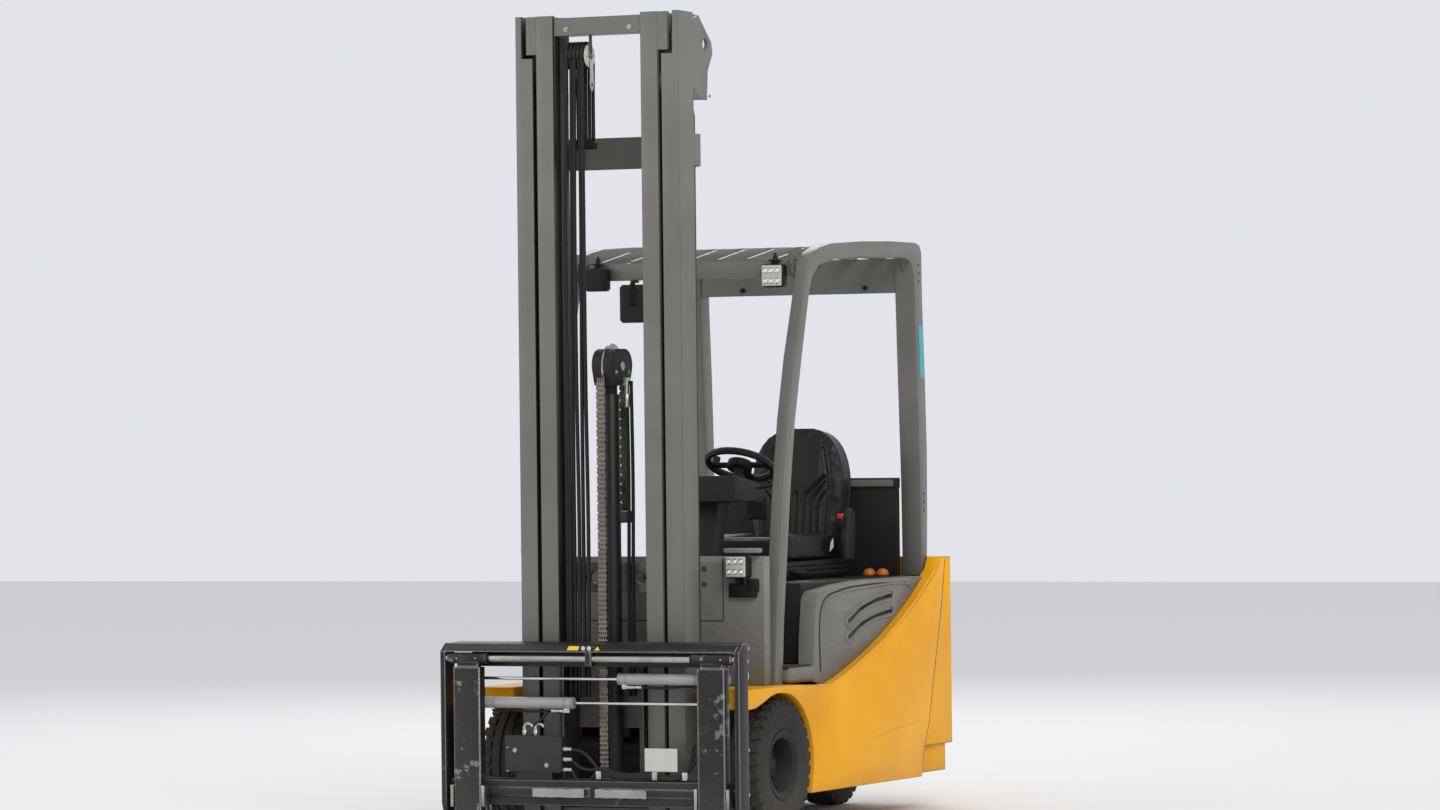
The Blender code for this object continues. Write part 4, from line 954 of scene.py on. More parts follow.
def make_hose_pulley(radius):
    """The hose pulley under the inner mast's top tie, with its strap and the hoses' turn over it."""
    axle = Vector((-0.0915, -0.252, HOSE_TOP))
    half = PULLEY_HALF
    lanes = [-half + (index + 0.5) * half * 2 / MAST_HOSES for index in range(MAST_HOSES)]
    grooves = [(0.016, -half)]
    for lane in lanes:
        grooves += [(PULLEY_RADIUS, lane - 0.0068), (PULLEY_RADIUS - 0.006, lane),
                    (PULLEY_RADIUS, lane + 0.0068)]
    grooves += [(0.016, half)]
    rim = turned(grooves, axle, X_AXIS, 32)
    keep(rim, "hose_pulley", "deep black", "inner_mast")
    disc = [(0.006, half + 0.0005), (0.040, half + 0.0005), (0.040, half + 0.0035), (0.034, half + 0.0045),
            (0.012, half + 0.0030), (0.006, half + 0.0045)]
    spokes = [turned(disc, axle, X_AXIS, 32)]
    rib = brick((axle.x + half + 0.002, axle.y - 0.002, axle.z + 0.010),
                (axle.x + half + 0.006, axle.y + 0.002, axle.z + 0.037), 0.0008, 1)
    spokes.append(around(rib, 8, axle, X_AXIS))
    keep(joined(spokes), "hose_pulley_face", "blank white", "inner_mast")
    straps = []
    for x in (-half - 0.009, half + 0.0065):
        straps.append(brick((axle.x + x - 0.002, axle.y - 0.010, axle.z - 0.010),
                            (axle.x + x + 0.002, axle.y + 0.010, 2.730), 0.001, 1))
    straps.append(pole((axle.x - half - 0.012, axle.y, axle.z),
                       (axle.x + half + 0.012, axle.y, axle.z), 0.006, 16))
    keep(joined(straps), "hose_pulley_straps", "black paint", "inner_mast")
    turns = []
    reach = PULLEY_RADIUS - 0.002
    for lane in lanes:
        x = axle.x + lane
        route = [(x, axle.y - reach, axle.z - 0.010)]
        for step in range(7):
            turn = radians(180 - step * 30)
            route.append((x, axle.y + reach * cos(turn), axle.z + reach * sin(turn)))
        route += [(x, axle.y + reach, axle.z - 0.12), (x, axle.y + reach, axle.z - 0.30)]
        turns.append(hose(route, radius * 0.94, 3))
    turns.append(brick((axle.x - half - 0.004, axle.y + 0.030, 2.338),
                       (axle.x + half + 0.004, axle.y + 0.052, 2.366), 0.003))
    keep(joined(turns), "hose_pulley_turns", "hose rubber", "inner_mast", smooth=60)
    eye = ((-0.262, 2.640), (-0.242, 2.640), (-0.238, 2.560), (-0.246, 2.535), (-0.258, 2.535),
           (-0.266, 2.560))
    hanger = drawn([(-0.0475, y, z) for y, z in eye], (0.0035, 0, 0), 0.0010)
    hole = pole((-0.060, -0.252, 2.556), (-0.010, -0.252, 2.556), 0.0065, 20)
    keep(pierced(hanger, [hole]), "hose_hanger", "zinc", "inner_mast")


def make_head_details():
    """The chain head's sheave, its pin, guards' rims and the two lift hoses beside it."""
    low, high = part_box("free_lift_head")
    sheave_y = (low.y + high.y) / 2
    sheave_z = high.z - 0.060
    radius = (high.y - low.y) / 2 - 0.004
    parts = [turned([(0.012, -0.0035), (radius - 0.016, -0.0035), (radius, -0.0030), (radius, 0.0030),
                     (radius - 0.016, 0.0035), (0.012, 0.0035)], (0, sheave_y, sheave_z), X_AXIS, 40)]
    for side in SIDES:
        parts.append(pole((side * 0.0370, sheave_y, sheave_z),
                          (side * 0.0420, sheave_y, sheave_z), 0.016, 24, 0.0015))
        for dy in (-0.048, 0.048):
            parts.append(bolt((side * 0.0372, sheave_y + dy, sheave_z - 0.020), (side, 0, 0), 0.0055, 0.004))
    keep(joined(parts), "head_sheave", "worn steel", "free_lift_head")
    rims = []
    for side in SIDES:
        for edge in (0.005, 0.0365):
            points = []
            for step in range(9):
                turn = radians(200 - step * 27.5)
                points.append((side * edge, sheave_y + (radius + 0.0005) * cos(turn) * 0.99,
                               sheave_z + 0.056 * sin(turn)))
            rims.append(hose(points, 0.0022, 2))
    keep(joined(rims), "head_guard_rims", "deep black", "free_lift_head")
    fitting = [pole((0.052, -0.205, 1.455), (0.052, -0.205, 1.500), 0.011, 6, 0.001),
               pole((0.052, -0.205, 1.500), (0.052, -0.205, 1.535), 0.008, 16),
               brick((0.036, -0.216, 1.530), (0.062, -0.194, 1.556), 0.003)]
    keep(joined(fitting), "head_hose_fitting", "zinc", "free_lift_head")
    pair = []
    for x in (0.052, 0.068):
        pair.append(hose([(x, -0.205, 1.545), (x + 0.002, -0.203, 1.2), (x, -0.205, 0.85), (x, -0.205, 0.47)],
                         0.0062, 3))
    lines = keep(joined(pair), "head_hoses", "hose rubber", "free_lift_head", smooth=60)
    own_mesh(lines)


def make_mast_fittings():
    """Screws, bosses, black discs as painted shade of the tie holes, and cylinder glands on the two mast
    frames.
    """
    outer = []
    for side in SIDES:
        outer.append(bolts([(side * 0.2815, -0.1305 + dy, 2.700) for dy in (-0.012, 0.018)],
                           (0, 0, 1), 0.006))
        outer.append(bolts([(side * 0.3083, -0.060, 2.515), (side * 0.3083, -0.086, 2.515)],
                           (side, 0, 0), 0.0045, 0.0025))
        for low_z, high_z in ((0.823, 0.926), (0.400, 0.500)):
            outer.append(bolts([(side * 0.292, -0.1135, z) for z in (low_z + 0.025, high_z - 0.025)],
                               (0, 1, 0), 0.008))
        outer.append(pole((side * 0.252, -0.135, 2.4495), (side * 0.252, -0.135, 2.4660), 0.030, 28, 0.003))
    keep(joined(outer), "outer_mast_screws", "zinc", "outer_mast")
    # painted shade: thin black discs on the tie stand in for the dark inside of its holes
    holes = []
    for side in SIDES:
        holes.append(pole((side * 0.190, -0.1962, 0.874), (side * 0.190, -0.1870, 0.874), 0.017, 24))
        holes.append(pole((side * 0.110, -0.1962, 0.874), (side * 0.110, -0.1870, 0.874), 0.010, 20))
    keep(joined(holes), "mast_tie_hole_shade", "deep black", "outer_mast")
    gland = [(0.0205, 2.450), (0.0300, 2.450), (0.0300, 2.462), (0.0260, 2.470), (0.0205, 2.470)]
    glands = [turned(gland, (side * 0.252, -0.135, 0), Z_AXIS, 28) for side in SIDES]
    keep(joined(glands), "lift_cylinder_glands", "deep black", "outer_mast")
    studs = bolts([(x, -0.2955, 2.745) for x in (-0.12, 0.12)], (0, -1, 0), 0.007)
    keep(studs, "inner_mast_screws", "zinc", "inner_mast")


class FORKLIFT_OT_mast(bpy.types.Operator):
    """Makes the mast's chains, hoses, pulley and screws"""

    bl_idname = "forklift.mast"
    bl_label = "Mast"

    def execute(self, context):
        fittings = context.scene.forklift_fittings
        front = make_leaf_chain("front_leaf_chain", "lift_chain_front", "free_lift_head", fittings.leaf_pitch)
        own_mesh(front)
        make_leaf_chain("rear_leaf_chain", "lift_chain_rear", "inner_mast", fittings.leaf_pitch)
        make_hose_bundle(fittings.hose_diameter / 2)
        make_hose_pulley(fittings.hose_diameter / 2)
        make_head_details()
        make_mast_fittings()
        return {"FINISHED"}


# ---------------------------------------------------------------- carriage and attachment

FRAME_FACE = -0.4275         # front face of the attachment's frame
VALVE_Y = -0.369             # middle of the valve block's ports
CYLINDER_Y = -0.371          # axis of the fork cylinders
SHAFT = (-0.411, 0.605)      # axis of the fork shaft
SIDE_FACE = 0.5618           # outer face of the frame's side plates
STRIP_STEPS = 16             # steps in the worn edge of a lower rail strip


def make_valve_details():
    """Screws, elbows, caps and hoses on the attachment's valve block."""
    low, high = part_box("valve_block")
    face, top = low.y, high.z
    metal = [bolts([(low.x + 0.040, face, top - 0.050), (high.x - 0.055, face, top - 0.100)],
                   (0, -1, 0), 0.006, 0.004)]
    for x in (low.x + 0.070, low.x + 0.112):
        metal.append(pole((x, VALVE_Y, top - 0.001), (x, VALVE_Y, top + 0.018), 0.009, 6, 0.001))
        metal.append(pole((x, VALVE_Y, top + 0.016), (x, VALVE_Y, top + 0.030), 0.0065, 16))
        metal.append(hose([(x, VALVE_Y, top + 0.024), (x + 0.004, -0.371, top + 0.036),
                           (x + 0.018, -0.372, top + 0.040),
                           (x + 0.034, -0.372, top + 0.030)], 0.0055, 3))
    for z in (top - 0.045, top - 0.080, top - 0.115):
        metal.append(pole((high.x - 0.001, VALVE_Y, z), (high.x + 0.016, VALVE_Y, z), 0.0095, 6, 0.001))
        metal.append(pole((high.x + 0.014, VALVE_Y, z), (high.x + 0.034, VALVE_Y, z), 0.0070, 16))
    metal.append(bolts([(low.x + 0.012, face, z) for z in (low.z + 0.03, low.z + 0.11)],
                       (0, -1, 0), 0.0035, 0.003, False))
    keep(joined(metal), "valve_fittings", "zinc", "attachment")
    lines = []
    for index, z in enumerate((top - 0.045, top - 0.080, top - 0.115)):
        drop = 0.205 + 0.006 * index
        lines.append(hose([(high.x + 0.030, VALVE_Y, z), (high.x + 0.075, -0.371, z - 0.010 - 0.02 * index),
                           (high.x + 0.150, -0.374, drop + 0.016), (0.08, -0.378, drop), (0.20, -0.378, drop),
                           (0.33, -0.376, drop + 0.004), (0.372, -0.372, 0.260 + 0.03 * index)], 0.0058, 3))
    lines.append(hose([(low.x + 0.104, -0.371, top + 0.030), (-0.205, -0.376, 0.395),
                       (-0.175, -0.380, 0.4225)], 0.005, 3))
    keep(joined(lines), "attachment_hoses", "hose rubber", "attachment", smooth=60)
    clamps = []
    for x in (0.015, 0.225, 0.338):
        clamps.append(brick((x - 0.010, -0.3848, 0.196), (x + 0.010, -0.3660, 0.224), 0.003))
        if x < 0.3:
            clamps.append(bolt((x, -0.3848, 0.203), (0, -1, 0), 0.0045, 0.003))
    keep(joined(clamps), "hose_clamps", "zinc", "attachment")


def make_frame_details():
    """Bearing, seals, rail strips, blank plates, screws and fork guides of the attachment."""
    bearing = [brick((-0.012, -0.4265, 0.578), (0.014, -0.3955, 0.632), 0.004),
               brick((-0.018, -0.4120, 0.626), (0.020, -0.3900, 0.646), 0.003)]
    keep(joined(bearing), "shaft_bearing", "black paint", "attachment")
    seal = [(0.0128, -0.003), (0.0195, -0.003), (0.0200, 0.0), (0.0195, 0.003), (0.0128, 0.003)]
    for label, x in (("right", -0.385), ("left", 0.385)):
        keep(turned(seal, (x, *SHAFT), X_AXIS, 28), "sleeve_seal_" + label, "deep black", "fork_" + label)
    low_pads = []
    random.seed(11)
    for start, end in ((-0.214, -0.020), (0.022, 0.214)):
        lower, upper = [], []
        for index in range(STRIP_STEPS + 1):
            x = start + (end - start) * index / STRIP_STEPS
            lower.append((x, 0.136 + random.uniform(-0.0012, 0.0012)))
            upper.append((x, 0.165 + random.uniform(-0.0022, 0.0012)))
        outline = [(x, FRAME_FACE + 0.0010, z) for x, z in lower + upper[::-1]]
        low_pads.append(drawn(outline, (0, 0.003, 0)))
    keep(joined(low_pads), "lower_rail_strips", "worn steel", "attachment", smooth=0)
    sheet = brick((0.187, -0.3790, 0.225), (0.309, -0.3770, 0.303), 0.0006, 1)
    keep(sheet, "blank_plate", "blank white", "attachment")
    on_bar = FRAME_FACE + 0.0002
    labels = [drawn([(x, on_bar, z) for x, z in outline], (0, 0.0006, 0)) for outline in
              (((-0.078, 0.634), (-0.036, 0.634), (-0.030, 0.648), (-0.070, 0.648)),
               ((0.026, 0.634), (0.046, 0.634), (0.040, 0.648)))]
    keep(joined(labels), "bar_label", "yellow label", "attachment", smooth=0)
    rounds = [pole((x, on_bar, 0.641), (x, on_bar + 0.0008, 0.641), 0.0075, 20) for x in (-0.016, 0.006)]
    keep(joined(rounds), "bar_label_rounds", "blank white", "attachment", smooth=0)
    side_screws = []
    for side in SIDES:
        face = side * SIDE_FACE
        for y, z in ((-0.345, 0.640), (-0.352, 0.598), (-0.352, 0.300), (-0.352, 0.150)):
            side_screws.append(pole((face, y, z), (side * 0.5629, y, z), 0.0058, 18))
        socket = [(0.007, -0.0005), (0.0165, -0.0005), (0.0165, 0.0011), (0.0130, 0.0011), (0.0070, 0.0004)]
        side_screws.append(turned([(r, a * side) for r, a in socket], (face, -0.362, 0.548), X_AXIS, 28))
    keep(joined(side_screws), "side_plate_screws", "zinc", "attachment")
    blocks = []
    for side in SIDES:
        for x in (0.4005, 0.5195):
            blocks.append(brick((side * (x - 0.006), -0.4330, 0.098),
                                (side * (x + 0.006), -0.4000, 0.172), 0.002))
    for piece, label, body in ((blocks[:2], "left", "fork_left"), (blocks[2:], "right", "fork_right")):
        keep(joined(piece), "fork_guide_" + label, "worn steel", body)
    for side in SIDES:
        nipples = bolts([(side * x, -0.4300, 0.605) for x in (0.425, 0.497)],
                        (0, -1, 0), 0.0032, 0.002, False)
        keep(nipples, "sleeve_nipples_" + SIDE_NAMES[side], "zinc", "fork_" + SIDE_NAMES[side])


def make_positioner_details():
    """End caps, ports and pipe fittings of the two fork cylinders."""
    plan = (("left", "fork_left", 1, 0.5355, 0.092), ("right", "fork_right", -1, 0.4525, 0.082))
    for label, body, side, z, inner in plan:
        ring = [(0.0195, -0.003), (0.0203, -0.003), (0.0206, 0.0), (0.0203, 0.003), (0.0195, 0.003)]
        rings = [turned(ring, (side * x, CYLINDER_Y, z), X_AXIS, 32)
                 for x in (inner + 0.003, inner + 0.028, 0.380)]
        keep(joined(rings), "positioner_rings_" + label, "silver paint", body)
        pipe = [brick((side * (inner + 0.012), -0.380, z - 0.034),
                      (side * (inner + 0.034), -0.362, z - 0.017), 0.003)]
        nuts = ((0.030, 0.052, 0.0075, 6, 0.001), (0.050, 0.074, 0.0055, 16, 0),
                (0.066, 0.084, 0.0075, 6, 0.001))
        for start, end, radius, sides, bevel in nuts:
            pipe.append(pole((side * (inner + start), CYLINDER_Y, z - 0.027),
                             (side * (inner + end), CYLINDER_Y, z - 0.027), radius, sides, bevel))
        keep(joined(pipe), "positioner_fittings_" + label, "zinc", body)
        route = [(side * (inner + 0.080), CYLINDER_Y, z - 0.027),
                 (side * (inner + 0.16), CYLINDER_Y, z - 0.030),
                 (side * (inner + 0.25), VALVE_Y, z - 0.024), (side * 0.392, CYLINDER_Y, z - 0.026)]
        keep(hose(route, 0.0045, 3), "positioner_pipe_" + label, "hose rubber", body, smooth=60)


class FORKLIFT_OT_attachment(bpy.types.Operator):
    """Makes the fittings of the carriage, the fork positioner and the forks"""

    bl_idname = "forklift.attachment"
    bl_label = "Attachment"

    def execute(self, context):
        make_valve_details()
        make_frame_details()
        make_positioner_details()
        return {"FINISHED"}


# ---------------------------------------------------------------- cab, guard and body

WHEEL_TILT = radians(26)     # the steering wheel's lean from level
KNOB_TURN = radians(38)      # where the spinner knob stands on its rim
KNOB_REACH = 0.117
COWL_FRONT = 0.0172          # just inside the front cowl's face


def surface_at(name, start, direction):
    """Where a straight line from start first meets a node of the frame."""
    hit, place, _, _ = NODES[name].ray_cast(Vector(start), Vector(direction))
    if not hit:
        raise RuntimeError(f"nothing of {name} lies that way from {start}")
    return place


def make_lamp(name):
    """A square work lamp: black housing, pale face and six lit cells in two rows."""
    low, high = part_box(name)
    face = low.y
    lens = brick((low.x + 0.005, face - 0.003, low.z + 0.005),
                 (high.x - 0.005, face + 0.004, high.z - 0.005), 0.006, 3)
    keep(lens, name + "_face", "lamp white", "chassis")
    cells, cups = [], []
    for column in (-1, 0, 1):
        for row in (-1, 1):
            x = (low.x + high.x) / 2 + column * (high.x - low.x) * 0.27
            z = (low.z + high.z) / 2 + row * (high.z - low.z) * 0.22
            cups.append(turned([(0.0062, -0.0005), (0.0100, -0.0005), (0.0100, 0.0012), (0.0088, 0.0018),
                                (0.0066, 0.0006)], (x, face - 0.003, z), (0, -1, 0), 20))
            cells.append(dome((x, face - 0.0030, z), (0, -1, 0), 0.0062, 0.0022, 16, 3))
    keep(joined(cups), name + "_cups", "zinc", "chassis")
    keep(joined(cells), name + "_cells", "lamp glow", "chassis")
    fins = [brick((low.x + 0.006, high.y - 0.004, z), (high.x - 0.006, high.y + 0.0001, z + 0.003), 0.0005, 1)
            for z in (low.z + 0.015, low.z + 0.028, low.z + 0.041, low.z + 0.054)]
    keep(joined(fins), name + "_fins", "deep black", "chassis")


def make_lamp_brackets():
    """The bars and angles that carry the four work lamps."""
    bars = []
    blacks = []
    for side in SIDES:
        bars.append(brick((side * 0.325, -0.030, 0.9530), (side * 0.452, 0.0168, 0.9690), 0.004))
        blacks.append(brick((side * 0.395, -0.002, 0.8200), (side * 0.440, 0.0168, 0.8640), 0.004))
        blacks.append(brick((side * 0.366, -0.020, 0.8480), (side * 0.380, 0.0160, 0.8680), 0.003))
        blacks.append(bolt((side * 0.373, -0.020, 0.8580), (0, -1, 0), 0.006))
        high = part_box("upper_lamp_" + SIDE_NAMES[side])[1]
        blacks.append(brick((side * 0.336, high.y - 0.030, high.z - 0.001),
                            (side * 0.352, high.y - 0.016, 1.965), 0.002))
        blacks.append(brick((side * 0.326, high.y - 0.036, 1.960),
                            (side * 0.362, high.y - 0.002, 1.966), 0.002))
        blacks.append(pole((side * 0.344, 0.386, 1.966), (side * 0.344, 0.386, 1.990), 0.011, 16, 0, 0.004))
    keep(joined(bars), "lower_lamp_bars", "cover plastic", "chassis")
    keep(joined(blacks), "lamp_brackets", "deep black", "chassis")


def make_gussets():
    """Pierced plates between the guard's front posts and its roof beam."""
    outline = ((0.386, 1.996), (0.442, 2.002), (0.438, 1.940), (0.428, 1.902), (0.412, 1.896), (0.396, 1.918))
    plate = drawn([(x, 0.3945, z) for x, z in outline], (0, 0.006, 0), 0.0012)
    opening = ((0.408, 1.966), (0.427, 1.968), (0.424, 1.930), (0.412, 1.926))
    window = drawn([(x, 0.385, z) for x, z in opening], (0, 0.03, 0))
    holes = [pole((x, 0.385, z), (x, 0.415, z), 0.0026, 12)
             for x, z in ((0.398, 1.980), (0.400, 1.945), (0.434, 1.984))]
    keep(paired(pierced(plate, [window] + holes)), "roof_gussets", "guard paint", "chassis")


def make_guard_fittings():
    """Black discs as painted shade of holes, a blank label and knobs on the overhead guard."""
    # painted shade: black discs almost flush with each post's face stand in for the dark inside of its holes
    dark = []
    for side in SIDES:
        name = "guard_side_" + SIDE_NAMES[side]
        for start_z in (1.905, 1.075):
            for step in range(3):
                z = start_z + 0.030 * step
                back = surface_at(name, (side * 0.440, 2.0, z), (0, -1, 0))
                outer = surface_at(name, (side * 0.7, back.y - 0.030, z), (-side, 0, 0))
                dark.append(pole((outer.x - side * 0.004, outer.y, z),
                                 (outer.x + side * 0.0004, outer.y, z), 0.0055, 16))
    keep(joined(dark), "guard_hole_shade", "deep black", "chassis", smooth=0)
    back = surface_at("guard_side_left", (0.440, 2.0, 1.650), (0, -1, 0))
    outer = surface_at("guard_side_left", (0.7, back.y - 0.030, 1.650), (-1, 0, 0))
    corners = ((-0.038, 1.555), (-0.048, 1.745), (-0.012, 1.745), (-0.002, 1.555))
    label = drawn([(outer.x + 0.0002, back.y + dy, z) for dy, z in corners], (0.0006, 0, 0))
    keep(label, "post_label", "turquoise label", "chassis", smooth=0)
    knobs = []
    for x in (-0.22, 0.04, 0.27):
        low_rear = surface_at("guard_roof", (x, 0.9, 1.885), (0, 1, 0))
        knobs.append(pole((x, low_rear.y + 0.001, 1.885),
                          (x, low_rear.y - 0.016, 1.885), 0.010, 16, bevel=0.002, tip=0.006))
    keep(joined(knobs), "roof_knobs", "deep black", "chassis")


def make_mirror_glass():
    """The mirror's glass, and the boss and bent arm in front of it."""
    low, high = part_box("mirror")
    glass = brick((low.x + 0.006, low.y + 0.0215, low.z + 0.006),
                  (high.x - 0.006, low.y + 0.0235, low.z + 0.129), 0.003)
    keep(glass, "mirror_glass", "mirror glass", "chassis")
    x = (low.x + high.x) / 2
    boss = [dome((x, low.y + 0.001, low.z + 0.070), (0, -1, 0), 0.015, 0.010),
            hose([(x, low.y - 0.006, low.z + 0.070), (x, low.y - 0.014, low.z + 0.115),
                  (x, low.y + 0.002, low.z + 0.142)], 0.0055, 4)]
    keep(joined(boss), "mirror_boss", "deep black", "chassis", smooth=60)


def make_controls():
    """The spinner knob, the levers, the armrest's keys, the display and the pedals."""
    axis = Vector((0, sin(WHEEL_TILT), cos(WHEEL_TILT)))
    centre = Vector((0.100, 0.602, 1.250))
    out = X_AXIS * sin(KNOB_TURN) + axis.cross(X_AXIS) * cos(KNOB_TURN)
    foot = centre + out * KNOB_REACH
    knob = [pole(foot + axis * 0.006, foot + axis * 0.026, 0.007, 16, 0, 0.005),
            turned([(0.0, 0.024), (0.012, 0.025), (0.018, 0.033), (0.018, 0.044), (0.012, 0.052),
                    (0.0, 0.053)], foot, axis, 24)]
    keep(joined(knob), "spinner_knob", "deep black", "steering_wheel", smooth=50)
    cap = dome(centre + axis * 0.012, axis, 0.026, 0.008, 28)
    keep(cap, "wheel_cap", "dark plastic", "steering_wheel", smooth=50)
    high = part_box("steering_console")[1]
    lever = [hose([(high.x - 0.012, high.y - 0.09, high.z - 0.050),
                   (high.x + 0.035, high.y - 0.085, high.z - 0.040),
                   (high.x + 0.075, high.y - 0.082, high.z - 0.032)], 0.0045, 4),
             pole((high.x + 0.060, high.y - 0.083, high.z - 0.035),
                  (high.x + 0.088, high.y - 0.081, high.z - 0.029), 0.008, 16, 0.002)]
    keep(joined(lever), "direction_lever", "deep black", "chassis", smooth=50)
    armrest_low, armrest_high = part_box("armrest")
    x = (armrest_low.x + armrest_high.x) / 2
    stick = [pole((x, 0.650, 1.080), (x, 0.640, 1.150), 0.007, 16),
             dome((x, 0.640, 1.148), (0, -0.1, 1), 0.021, 0.030, 24, 6),
             turned([(0.007, 0.0), (0.026, 0.0), (0.024, 0.008), (0.014, 0.016), (0.007, 0.024)],
                    (x, 0.652, 1.074), Z_AXIS, 24)]
    keep(joined(stick), "armrest_lever", "deep black", "chassis", smooth=50)
    keys = [brick((x + dx, 0.700 + dy, 1.060), (x + dx + 0.012, 0.712 + dy, 1.0745), 0.002)
            for dx in (-0.026, -0.006, 0.014) for dy in (0.0, 0.024)]
    keep(joined(keys), "armrest_keys", "blank white", "chassis")
    case = [brick((0.225, 0.380, 1.060), (0.305, 0.394, 1.125), 0.005),
            pole((0.205, 0.360, 1.050), (0.262, 0.394, 1.085), 0.006, 12)]
    keep(joined(case), "display_case", "deep black", "chassis", smooth=50)
    glass = brick((0.232, 0.3935, 1.068), (0.298, 0.3952, 1.117), 0.001)
    keep(glass, "display_glass", "screen", "chassis")
    pedals = []
    for start, end in ((0.030, 0.085), (0.225, 0.285), (0.310, 0.360)):
        plate = brick((start, 0.235, 0.560), (end, 0.247, 0.660), 0.004)
        grooves = [brick((start + 0.006, 0.2455, 0.572 + 0.016 * k),
                         (end - 0.006, 0.2500, 0.580 + 0.016 * k), 0.001, 1)
                   for k in range(5)]
        arm = pole(((start + end) / 2, 0.240, 0.650), ((start + end) / 2, 0.072, 0.760), 0.007, 12)
        pedals.append(joined([plate, arm] + grooves))
    keep(joined(pedals), "pedals", "step rubber", "chassis")


def make_cab_trim():
    """The floor mat, the rear panel's band, the hood's caps, label and seam, and the cowl's screws."""
    strips = [brick((-0.340, 0.090 + 0.020 * k, 0.5002), (0.340, 0.101 + 0.020 * k, 0.5040), 0.001, 1)
              for k in range(13)]
    mat = brick((-0.350, 0.080, 0.5001), (0.350, 0.360, 0.5022), 0.001, 1)
    keep(joined([mat] + strips), "floor_mat", "step rubber", "chassis")
    low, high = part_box("rear_guard_panel")
    band = brick((low.x + 0.012, low.y - 0.006, high.z - 0.032),
                 (high.x - 0.012, low.y + 0.002, high.z - 0.006), 0.003)
    keep(band, "rear_panel_band", "guard paint", "chassis")
    caps = []
    for x in (0.300, 0.352):
        caps.append(pole((x, 1.275, 0.8400), (x, 1.275, 0.853), 0.024, 28, 0.003))
        caps.append(dome((x, 1.275, 0.852), (0, 0, 1), 0.021, 0.016, 28, 6))
    keep(joined(caps), "orange_caps", "orange lens", "chassis", smooth=50)
    label = brick((0.330, 0.560, 0.8398), (0.372, 0.590, 0.8403), 0)
    keep(label, "hood_label", "yellow label", "chassis", smooth=0)
    seam = brick((-0.4255, 0.640, 0.8385), (0.4255, 0.643, 0.8399), 0)
    keep(seam, "hood_seam", "deep black", "chassis", smooth=0)
    screws = bolts([(x, COWL_FRONT, z) for x in (-0.40, -0.20, 0.20) for z in (0.60, 0.90)],
                   (0, -1, 0), 0.006, 0.004)
    keep(screws, "cowl_screws", "zinc", "chassis")


def make_tail():
    """Tow pin, tail lamps and lifting plugs at the counterweight."""
    rear = surface_at("counterweight", (0.0, 3.0, 0.80), (0, -1, 0)).y
    steel = [pole((0, rear - 0.045, 0.9040), (0, rear - 0.045, 0.925), 0.016, 24, 0.002),
             hose([(-0.020, rear - 0.045, 0.922), (-0.014, rear - 0.045, 0.947), (0.014, rear - 0.045, 0.947),
                   (0.020, rear - 0.045, 0.922)], 0.004, 4)]
    keep(joined(steel), "tow_pin", "zinc", "chassis", smooth=50)
    plugs = [pole((side * 0.30, rear - 0.15, 0.9045), (side * 0.30, rear - 0.15, 0.9090), 0.030, 28, 0.002)
             for side in SIDES]
    keep(joined(plugs), "weight_plugs", "deep black", "chassis")
    cases, reds = [], []
    for side in SIDES:
        post = surface_at("guard_side_" + SIDE_NAMES[side], (side * 0.430, 2.0, 1.50), (0, -1, 0))
        cases.append(brick((side * 0.408, post.y - 0.002, 1.440),
                           (side * 0.452, post.y + 0.020, 1.560), 0.005))
        for z in (1.470, 1.530):
            reds.append(dome((side * 0.430, post.y + 0.0195, z), (0, 1, 0), 0.018, 0.008, 24))
    keep(joined(cases), "tail_lamp_cases", "deep black", "chassis")
    keep(joined(reds), "tail_lamps", "red plastic", "chassis", smooth=50)


class FORKLIFT_OT_cab(bpy.types.Operator):
    """Makes the lamps, gussets, mirror, controls and trim of the cab and guard"""

    bl_idname = "forklift.cab"
    bl_label = "Cab and guard"

    def execute(self, context):
        for name in ("upper_lamp_left", "lower_lamp_left", "lower_lamp_right"):
            make_lamp(name)
        make_lamp_brackets()
        make_gussets()
        make_guard_fittings()
        make_mirror_glass()
        make_controls()
        make_cab_trim()
        make_tail()
        return {"FINISHED"}


# ---------------------------------------------------------------- side panels and covers

COVER_FACE = 0.485           # outer face of the side covers, from the middle
PANEL_FACE = 0.525           # outer face of the side panels
SLOT_RIM = ((0.634, 0.704), (0.757, 0.750), (0.900, 0.777), (1.053, 0.791), (1.058, 0.778), (1.053, 0.766),
            (0.900, 0.751), (0.764, 0.722), (0.655, 0.680), (0.640, 0.686))
SLOT_DROP = 0.055            # from the upper vent down to the lower one
SHOULDER = ((0.300, 0.489), (0.410, 0.486), (0.510, 0.506), (0.618, 0.536), (0.724, 0.569), (0.830, 0.604),
            (0.926, 0.641), (1.021, 0.680), (1.100, 0.717), (1.176, 0.755), (1.249, 0.797), (1.310, 0.832),
            (1.363, 0.862))


def closed_rim(points, radius):
    """A rounded bead along a closed line of points."""
    return hose(list(points) + [points[0], points[1]], radius, 4)


